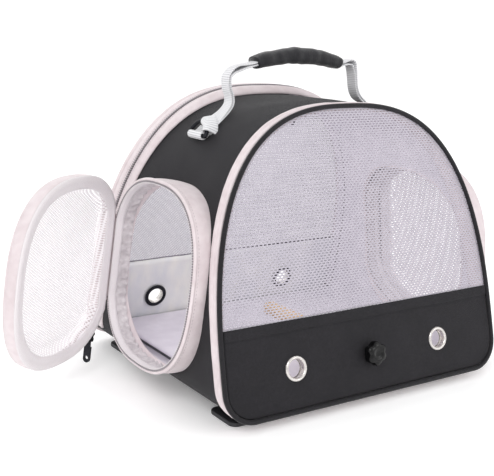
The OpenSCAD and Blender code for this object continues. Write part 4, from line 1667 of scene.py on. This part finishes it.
@dataclass
class CarryHandle(Assembly):
    """Webbing from ring to ring, bunched in the rings, with a padded sleeve round its middle."""

    ring_x: float = 103.5
    ring_r: float = 13.5
    ring_lean: float = 30.0
    web_w: float = 13.0
    layer: float = 1.9
    bend_at: float = 60.0
    drawn_to: float = 40.0
    spread: float = 33.0
    sleeve_half: float = 54.0
    sleeve_drop: float = 8.5
    padded_half: float = 47.5
    sleeve_w: float = 18.0
    sleeve_t: float = 14.5
    rise: float = 36.0

    def __post_init__(self) -> None:
        """Reads where the ring's bar and the crown lie from the frame."""
        low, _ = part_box("left_d_ring")
        self.bar_z = low[2] / MM + 1.8
        self.crown = BAG.floor + BAG.height + self.rise
        self.bow = (self.sleeve_half ** 2 + self.sleeve_drop ** 2) / (2 * self.sleeve_drop)
        self.arc = math.asin(self.sleeve_half / self.bow)

    def curve(self, count: int) -> Array:
        """Middle line of the sleeve, as x and height, from left to right."""
        turns = np.linspace(-self.arc, self.arc, count)
        return np.column_stack([self.bow * np.sin(turns), self.crown - self.bow + self.bow * np.cos(turns)])

    def build(self) -> None:
        """Makes the webbing, its sewn ends and the sleeve."""
        self.webbing()
        self.sleeve()

    def leg(self, s: int) -> Array:
        """One leg from the ring's crown to the sleeve, as x and height.

        Args:
            s: -1 for the left leg, which hangs straighter, and 1 for the right.

        Returns:
            The line.
        """
        b, r, top = self.bar_z, self.ring_x, self.crown - self.sleeve_drop
        drawn = [(r - 17.5, b + 17.5), (r - 25.5, b + 20.5), (r - 31.3, b + 25.5), (r - 31.6, b + 32),
                 (r - 29.0, b + 39), (r - 28.2, b + 46), (r - 29.6, b + 51), (r - 37.2, b + 56.2)]
        if s > 0:
            drawn = [(r - 17.5, b + 20.5), (r - 26, b + 25), (r - 33, b + 31), (r - 36.4, b + 38), (r - 38, b + 47),
                     (r - 39.6, b + 56), (r - 43, b + 62)]
        knots = np.array([(r - 10.5, b + 14.8), *drawn, (self.sleeve_half - 6, top + 1.0)])
        return rounded_line(knots, 60) * [s, 1]

    def folded(self, width: float, gap: float) -> Array:
        """Outline of webbing folded lengthwise, open on its front edge.

        Args:
            width: across the folded strap.
            gap: between its two layers.

        Returns:
            Rows of x, y.
        """
        half, layer = width / 2, self.layer
        turn = np.radians(np.linspace(-90, 90, 9))
        bend = half - gap / 2 - layer
        outer = [(bend + (gap / 2 + layer) * math.cos(a), (gap / 2 + layer) * math.sin(a)) for a in turn]
        inner = [(bend + gap / 2 * math.cos(a), gap / 2 * math.sin(a)) for a in turn[::-1]]
        lip = [(-half + 0.5, gap / 2 + layer), (-half, gap / 2 + layer * 0.7), (-half, gap / 2 + layer * 0.3),
               (-half + 0.4, gap / 2)]
        below = [(x, -y) for x, y in lip[::-1]]
        return np.array(outer + lip + inner + below)

    def webbing(self) -> None:
        """The strap: folded lengthwise in its legs, spread out flat at the rings, doubled round their wire."""
        parts = [self.strap_leg(s) for s in (-1, 1)] + [self.ring_turn(s) for s in (-1, 1)]
        strap = joined("handle_strap", parts)
        strap.data.materials.clear()
        strap.data.materials.append(self.finishes["webbing"])
        low, high = ((0.0, 0.0, (self.bar_z + t) * MM) for t in (17.0, 44.0))
        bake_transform(strap)
        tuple(low)
        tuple(high)
        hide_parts("handle_webbing", "left_ring_loop", "right_ring_loop")

    def strap_leg(self, s: int) -> Piece:
        """One leg of the strap, up to the middle of the sleeve.

        Args:
            s: -1 for the left leg and 1 for the right.

        Returns:
            The leg.
        """
        leg, middle = self.leg(s), self.curve(60)
        middle = middle[np.abs(middle[:, 0]) < self.sleeve_half - 9]
        middle = middle[middle[:, 0] * s >= 0]
        path = np.vstack([leg, middle[np.argsort(-np.abs(middle[:, 0]))]])
        path = respaced(path, 150, closed=False)
        line = upright(path)
        out = unit(np.cross([0.0, -1.0 * s, 0.0], unit(np.gradient(line, axis=0))))
        run = np.concatenate([[0], np.cumsum(np.linalg.norm(np.diff(line, axis=0), axis=1))])
        grid = np.zeros((len(line), len(self.folded(10.0, 1.0)), 3))
        away, = upright(unit(leg[12:13] - leg[:1]))
        for k in range(len(line)):
            low = math.exp(-(run[k] / 17.0) ** 2)
            bend = math.exp(-((run[k] - self.bend_at) / 7.0) ** 2)
            lump = 0.5 * ripple((line[k, 0] * 1.3, 0, line[k, 2]), 13.0, 3.0)
            flat = self.folded(self.web_w + 2.0 * low + lump, 0.25 + 2.4 * bend + 0.4 * max(0.0, lump))
            flat[:, 1] += (0.25 + 0.8 * bend) * (1 - (flat[:, 0] / (self.web_w / 2)) ** 2)
            leg_rim = line[k] + flat[:, :1] * [0.0, 1.0, 0.0] + out[k] * flat[:, 1:]
            share = -2 * flat[:, 0] / (self.web_w + 2.0 * low + lump)
            wire = self.on_wire(s, share, self.ring_r + 3.2 + 0.5 * flat[:, 1]) + away * run[k] * 0.9
            mix = min(1.0, run[k] / 27.0)
            mix = mix * mix * (3 - 2 * mix)
            grid[k] = leg_rim * mix + wire * (1 - mix)
        return mended(smoothed(cloth_grid("strap_leg", grid, close_v=True, caps=True)))

    def on_wire(self, s: int, share: Array, radius: Array) -> Array:
        """Points along the ring's wire where the strap is drawn towards the front.

        Args:
            s: -1 for the left ring and 1 for the right.
            share: place across the strap, from 1 at its front edge to -1 at its back edge.
            radius: distance from the middle of the ring's bar.

        Returns:
            The points.
        """
        lean = math.radians(self.ring_lean)
        up = np.array([-s * math.sin(lean), 0.0, math.cos(lean)])
        turn = np.radians(self.drawn_to + self.spread * np.asarray(share))[:, None]
        middle = np.array([s * self.ring_x, 0.0, self.bar_z])
        return middle + np.asarray(radius).reshape(-1, 1) * (np.cos(turn) * up - np.sin(turn) * [0.0, 1.0, 0.0])

    def ring_turn(self, s: int) -> Piece:
        """The turn of webbing through a ring: a drop round the wire whose two layers meet in the leg.

        Args:
            s: -1 for the left ring and 1 for the right.

        Returns:
            The turn.
        """
        leg = self.leg(s)
        away, = upright(unit(leg[12:13] - leg[:1]))
        arc = np.radians(np.linspace(75, 285, 21))
        drop = [(9.0, 1.3), (6.0, 2.3)] + [(3.6 * math.cos(a), 3.6 * math.sin(a)) for a in arc] \
            + [(6.0, -2.3), (9.0, -1.3)]
        shares = np.linspace(-1, 1, 21)
        wire = self.on_wire(s, shares, np.full(21, self.ring_r))
        tangent = unit(np.gradient(wire, axis=0))
        rows = []
        for k, share in enumerate(shares):
            normal = unit(np.cross(tangent[k], away))
            ahead = unit(np.cross(normal, tangent[k]))
            lump = 0.35 * ripple((share * 9, 4.0 * s, 0), 6.0, 2.0)
            rows.append([wire[k] + ahead * a + normal * (b + lump * min(1.0, abs(a) / 8)) for a, b in drop])
        return mended(smoothed(thickened(cloth_grid("ring_turn", np.array(rows)), 1.2, 0.0)))

    def sleeve(self) -> None:
        """The padded sleeve: a soft tube with creases, closed along its underside."""
        path = self.curve(120)
        path = respaced(path[np.abs(path[:, 0]) < self.padded_half], 96, closed=False)
        line = upright(path)
        side = np.broadcast_to([0.0, 1.0, 0.0], line.shape)
        out = unit(np.cross(unit(np.gradient(line, axis=0)), side))
        out *= np.sign(out[len(out) // 2, 2])
        turns = circle(64)
        profiles = []
        for k in range(len(line)):
            t = k / (len(line) - 1)
            end = min(1.0, min(t, 1 - t) * 14)
            swell = 0.84 + 0.16 * math.sin(math.pi * t)
            half_w = self.sleeve_w / 2 * (0.92 + 0.08 * end)
            half_t = self.sleeve_t / 2 * swell * (0.88 + 0.12 * end)
            ring = superellipse(turns, half_w, half_t, 2.4)
            for j, a in enumerate(turns):
                place = (line[k, 0], ring[j, 0], ring[j, 1])
                fold = 0.75 * ripple((place[0] * 1.6, place[1] * 0.5, place[2]), 12.0, 4.0)
                fold += 0.75 * ripple(place, 24.0, 9.0)
                slit = 0.9 * math.exp(-((ring[j, 0] - 4.5) / 1.0) ** 2) if math.sin(a) < -0.2 else 0.0
                ring[j] *= 1 + (fold - slit) / (self.sleeve_t / 2)
            profiles.append(ring)
        grid = tube_grid(line, side, out, np.array(profiles))
        sleeve = mended(cloth_grid("padded_sleeve", grid, close_v=True, caps=True, flip=True))
        self.dress(sleeve, "sleeve", "handle", "black_cloth", "handle_sleeve")
        for s in (-1, 1):
            k = 4 if s < 0 else len(line) - 5
            rim = grid[k] + out[k] * 0.15 * np.sign(grid[k, :, 2:3] - line[k, 2])
            outward = unit(grid[k] - line[k])
            row = STITCHES.along(f"sleeve_end_stitches_{'left' if s < 0 else 'right'}", rim, outward, 3.0,
                                 (2.0, 0.5, 0.5), closed=True)
            self.dress(row, "dark_thread", "handle", "black_cloth")


def rounded_line(knots: Array, count: int) -> Array:
    """A smooth line through knots.

    Args:
        knots: rows of coordinates.
        count: points that come back, evenly spaced.

    Returns:
        The line's points.
    """
    padded = np.vstack([2 * knots[0] - knots[1], knots, 2 * knots[-1] - knots[-2]])
    points = []
    for k in range(1, len(padded) - 2):
        a, b, c, d = padded[k - 1:k + 3]
        for t in np.linspace(0, 1, 16, endpoint=False):
            points.append(0.5 * (2 * b + (c - a) * t + (2 * a - 5 * b + 4 * c - d) * t ** 2
                                 + (3 * b - a - 3 * c + d) * t ** 3))
    points.append(knots[-1])
    return respaced(np.array(points), count, closed=False)


# --- ring tabs, floor, perch and fittings


@dataclass
class RingTab(Assembly):
    """Webbing folded round a ring's bar, its two layers sewn flat to the wrap on the uphill side."""

    side: int
    ring_x: float = 103.5
    width: float = 21.5
    reach: float = 11.5
    turn_r: float = 2.9

    def over_skin(self, x: float, lift: float) -> Array:
        """Point at a height over the wrap's outer cloth, square to it.

        Args:
            x: distance from the middle, negative on the left.
            lift: height over the cloth.

        Returns:
            Its x and height.
        """
        here, there = BAG.skin_height(x - 0.5, BAG.skin), BAG.skin_height(x + 0.5, BAG.skin)
        normal = unit(np.array([here - there, 1.0]))
        return np.array([x, (here + there) / 2]) + normal * lift

    def build(self) -> None:
        """Makes the tab and the stitches that hold it."""
        low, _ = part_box("left_d_ring")
        bar = np.array([-self.ring_x, low[2] / MM + 1.8])
        name = "left" if self.side < 0 else "right"
        under = [self.over_skin(bar[0] + t, 1.0) for t in np.linspace(self.reach, 4.0, 8)]
        turns = np.radians(np.linspace(-60, -300, 26))
        round_bar = [bar + self.turn_r * np.array([math.cos(a + 0.83), math.sin(a + 0.83)]) for a in turns]
        over = [self.over_skin(bar[0] + t, h) for t, h in zip(np.linspace(4.2, self.reach, 7),
                                                             (4.4, 3.3, 2.8, 2.6, 2.6, 2.6, 2.5))]
        path = respaced(np.array(under + round_bar + over), 90, closed=False)
        path[:, 0] *= -self.side
        tab = bent_strip(f"{name}_ring_webbing", path, rounded_profile(self.width, 1.6, 20, 5.0))
        self.dress(tab, "webbing", "bag", "webbing", f"{name}_ring_tab")
        middle = self.over_skin(bar[0] + 7.4, 3.45)
        seam = np.array([[middle[0] * -self.side, y, middle[1]] for y in np.linspace(-9.4, 9.4, 30)])
        lift = self.over_skin(bar[0] + 7.4, 4.45) - middle
        outward = np.broadcast_to(np.array([lift[0] * -self.side, 0.0, lift[1]]), seam.shape)
        row = STITCHES.along(f"{name}_ring_webbing_stitches", seam, outward, 2.4, (1.7, 0.5, 0.4))
        self.dress(row, "pale_thread", "bag", "webbing")


@dataclass
class CabinFloor(Assembly):
    """The padded floor mat over its stiff board."""

    crown: float = 1.6
    overlap: float = 1.6

    def build(self) -> None:
        """Makes the mat with a drawn-in sewn edge."""
        low, high = (np.array(v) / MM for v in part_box("floor_pad"))
        half = (high - low) / 2
        middle = (high + low) / 2
        border = respaced(superellipse(circle(240), half[0] + self.overlap, half[1], 14.0), 240)
        rows = []
        for t in np.linspace(0, 1, 30):
            share = 1 - (1 - t) ** 1.6
            flat = border * (0.02 + 0.98 * share)
            edge = max(0.0, (t - 0.86) / 0.14)
            for_edge = math.cos(edge * math.pi / 2) ** 0.6 if edge < 1 else 0.0
            top = [middle[2] + half[2] * for_edge * (0.86 + 0.14 * (1 - t ** 2))
                   + 0.35 * ripple((x, y, 0), 30.0, 2.0) * for_edge for x, y in flat]
            rows.append(with_depth(flat, top))
        under = []
        for t in np.linspace(1, 0, 8):
            flat = border * (0.02 + 0.98 * t)
            drop = half[2] * (1 - max(0.0, (t - 0.93) / 0.07) ** 2)
            under.append(with_depth(flat, middle[2] - drop))
        mat = mended(cloth_grid("floor_mat", np.stack(rows + under[1:], axis=1), close_u=True), fill=True)
        self.dress(mat, "lining", "bag", "lilac_lining", "floor_pad")


@dataclass
class Runner(Assembly):
    """A moulded runner under the base: a thin plate with round ends, on a shorter raised pad."""

    name: str
    plate: float = 3.8
    radius: float = 7.0
    setback: float = 2.0
    inward: float = 11.0
    pad_in: float = 24.0
    softness: float = 0.9

    def outline(self, half_l: float, half_d: float, radius: float) -> Array:
        """Rows of x, y round a plate with round corners."""
        points = []
        for cx, cy, start in ((half_l - radius, half_d - radius, 0), (radius - half_l, half_d - radius, 90),
                              (radius - half_l, radius - half_d, 180), (half_l - radius, radius - half_d, 270)):
            for a in np.radians(np.linspace(start, start + 90, 12)):
                points.append((cx + radius * math.cos(a), cy + radius * math.sin(a)))
        return np.array(points)

    def slab(self, half_l: float, half_d: float, radius: float, low: float, high: float,
             middle: Array) -> Piece:
        """A plate with softened edges."""
        e = self.softness
        rows = []
        for inset, z in ((half_d, low), (e, low), (0.3 * e, low + 0.3 * e), (0.0, low + e), (0.0, high - e),
                         (0.3 * e, high - 0.3 * e), (e, high), (half_d, high)):
            ring = self.outline(half_l - inset, max(half_d - inset, 0.02), max(radius - inset, 0.01))
            rows.append(with_depth(ring + middle, z))
        return mended(cloth_grid("plate", np.stack(rows, axis=1), close_u=True), fill=True)

    def build(self) -> None:
        """Makes the runner in its node's box."""
        low, high = (np.array(v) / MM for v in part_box(self.name))
        half = (high - low)[:2] / 2
        middle = ((high + low) / 2)[:2]
        middle[1] -= self.inward * np.sign(middle[1])
        half_d = half[1] - self.setback
        plate = self.slab(half[0], half_d, min(self.radius, half_d - 0.5), 0.0, self.plate, middle)
        pad = self.slab(half[0] - self.pad_in, half_d - 6.0, 8.0, self.plate - 0.6, BAG.floor + 1.0, middle)
        both = joined(f"{self.name}_moulding", [plate, pad])
        self.dress(both, "runner", "bag", "runner_plastic", self.name)


@dataclass
class StarKnob(Assembly):
    """The glossy six-lobed knob that holds the perch."""

    diameter: float = 21.0
    height: float = 12.0
    lobes: int = 6
    up: float = 37.0
    out: float = -1.7

    def build(self) -> None:
        """Makes the knob as one turned and lobed form."""
        outward, upward = directions(BAG.on_front)
        centre = spot(BAG.on_front, 0.0, self.up, self.out)
        sideways = np.cross(outward, upward)
        r, h = self.diameter / 2, self.height
        heights = [(0.58, 0.0), (0.62, 0.3), (0.62, 2.6), (0.7, 3.2), (0.93, 4.0), (1.0, 5.2), (1.0, h - 2.6),
                   (0.95, h - 1.3), (0.84, h - 0.5), (0.6, h), (0.42, h), (0.36, h - 0.5), (0.2, h - 0.6),
                   (0.02, h - 0.6)]
        turns = circle(120)
        rows = []
        for share, z in heights:
            lobed = clamped((share - 0.55) / 0.4)
            ring = []
            for a in turns:
                wave = 0.5 + 0.5 * math.cos(self.lobes * a)
                reach = r * share * (1 - 0.17 * lobed * (1 - wave) ** 1.3)
                ring.append(centre + outward * z + (upward * math.cos(a) + sideways * math.sin(a)) * reach)
            rows.append(ring)
        knob = mended(cloth_grid("star_knob", np.array(rows).transpose(1, 0, 2), close_u=True), fill=True)
        self.dress(knob, "knob", "knob", "knob_plastic", "front_knob")


@dataclass
class CeilingLoop(Assembly):
    """A small cloth loop sewn under the top of the arch."""

    width: float = 9.0

    def build(self) -> None:
        """Makes the loop inside its node's box."""
        low, high = (np.array(v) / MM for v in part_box("ceiling_loop"))
        top, drop = high[2] - 0.4, high[2] - low[2] - 0.8
        turns = np.linspace(-math.pi / 2, 1.5 * math.pi, 40)[1:-1]
        line = np.array([[4.0 * math.cos(a + math.pi / 2) * (0.55 + 0.45 * (1 - abs(a - math.pi / 2) / math.pi)),
                          top - drop / 2 + (drop / 2) * -math.sin(a)] for a in turns])
        loop = bent_strip("sewn_ceiling_loop", line, rounded_profile(self.width, 0.9, 12))
        self.dress(loop, "binding", "bag", "black_cloth", "ceiling_loop")


def dress_frame_nodes(finishes: dict) -> None:
    """Gives the rigid CAD nodes that stay their finishes."""
    wanted = {"perch_dowel": "wood", "perch_stud": "zinc", "floor_board": "board"}
    for place, parts in (("left", "d_ring slider pull"), ("right", "d_ring slider pull"), ("rear", "slider pull")):
        wanted.update({f"{place}_{part}": "gunmetal" for part in parts.split()})
    for node, finish in wanted.items():
        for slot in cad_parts[node].material_slots:
            slot.material = finishes[finish]
        LOG.info("dressed %s", node)


# --- studio


@dataclass
class Studio:
    """Camera at the photograph's angle, pale floor and soft light."""

    location: tuple = (-0.5187, -0.6985, 0.3164)
    yaw: float = 33.96
    pitch: float = 12.88
    roll: float = 1.844
    lens: float = 68.90

    def camera(self) -> None:
        """Sets the camera."""
        data = bpy.data.cameras.new("camera")
        data.lens = self.lens
        data.sensor_width = 36.0
        data.sensor_fit = "HORIZONTAL"
        data.clip_start = 0.01
        view = bpy.data.objects.new("camera", data)
        bpy.context.scene.collection.objects.link(view)
        turn = Euler((math.radians(90 - self.pitch), 0.0, math.radians(-self.yaw)), "XYZ").to_matrix()
        turn = turn @ Matrix.Rotation(math.radians(self.roll), 3, "Z")
        view.matrix_world = Matrix.Translation(self.location) @ turn.to_4x4()
        bpy.context.scene.camera = view

    def floor(self) -> None:
        """A wide pale floor that rises into the backdrop."""
        rows = []
        for t in np.linspace(0, 1, 40):
            back = -2600 + 6200 * min(t, 0.7) / 0.7
            lift = 0.0 if t < 0.7 else 3000 * ((t - 0.7) / 0.3) ** 2
            rows.append([(x, back + (0 if t < 0.7 else 900 * (t - 0.7) / 0.3), lift)
                         for x in np.linspace(-3600, 3600, 9)])
        sweep = cloth_grid("studio_floor", np.array(rows), flip=True)
        s = Surface("studio_floor")
        grain = s.speckle(40, 2)
        sweep.data.materials.append(s.finish(s.blend(grain, (0.97, 0.97, 0.97), (0.985, 0.985, 0.985)), 0.9,
                                             Emission_Color=(1.0, 1.0, 1.0, 1.0), Emission_Strength=0.16))

    def lights(self) -> None:
        """A large key, a fill, a glint for glossy parts, a faint lamp in the cabin and a bright world."""
        for name, spot, aim, size, power in (
                ("key", (-1.6, -1.6, 1.9), (0, 0, 0.12), 1.2, 21.0),
                ("fill", (1.6, -2.2, 1.2), (0, 0, 0.12), 1.6, 7.0),
                ("back", (0.3, 2.2, 1.6), (0, 0, 0.15), 2.0, 12.0),
                ("glint", (0.7, -1.3, 0.75), (0, -0.13, 0.05), 0.1, 0.6),
                ("cabin", (0.0, 0.0, 0.222), (0, 0, 0), 0.14, 0.17)):
            data = bpy.data.lights.new(name, "AREA")
            data.size = size
            data.energy = power
            lamp = bpy.data.objects.new(name, data)
            bpy.context.scene.collection.objects.link(lamp)
            lamp.location = spot
            lamp.visible_camera = False
            lamp.visible_glossy = name != "cabin"
            away = Vector(aim) - Vector(spot)
            lamp.rotation_euler = away.to_track_quat("-Z", "Y").to_euler()
        world = bpy.data.worlds.new("studio")
        world.use_nodes = True
        sky = world.node_tree.nodes["Background"]
        sky.inputs[0].default_value = (1.0, 1.0, 1.0, 1)
        seen = world.node_tree.nodes.new("ShaderNodeLightPath")
        level = world.node_tree.nodes.new("ShaderNodeMapRange")
        level.inputs["To Min"].default_value = 0.9
        level.inputs["To Max"].default_value = 1.02
        world.node_tree.links.new(seen.outputs["Is Camera Ray"], level.inputs["Value"])
        world.node_tree.links.new(level.outputs["Result"], sky.inputs[1])
        bpy.context.scene.world = world
        bpy.context.scene.view_settings.view_transform = "Standard"


def main() -> None:
    """Builds the studio and every piece of the carrier."""
    logging.basicConfig(level=logging.INFO, format="%(name)s: %(message)s")
    studio = Studio()
    studio.camera()
    finishes = {key: recipe.build() for key, recipe in RECIPES.items()}
    assemblies = [
        BagWrap(finishes),
        WindowPanel(finishes, PanelSide.FRONT, "bag"),
        WindowPanel(finishes, PanelSide.BACK, "rear_door"),
        ZippedRim(finishes),
        SideDoorway(finishes, LEFT, "left"),
        SideDoorway(finishes, RIGHT, "right"),
        CarryHandle(finishes),
        RingTab(finishes, -1),
        RingTab(finishes, 1),
        CabinFloor(finishes),
        Runner(finishes, "front_runner"),
        Runner(finishes, "rear_runner"),
        StarKnob(finishes),
        CeilingLoop(finishes),
    ]
    for assembly in assemblies:
        assembly.build()
        LOG.info("built %s", type(assembly).__name__)
    dress_frame_nodes(finishes)
    studio.floor()
    studio.lights()


if __name__ == "__main__":
    main()
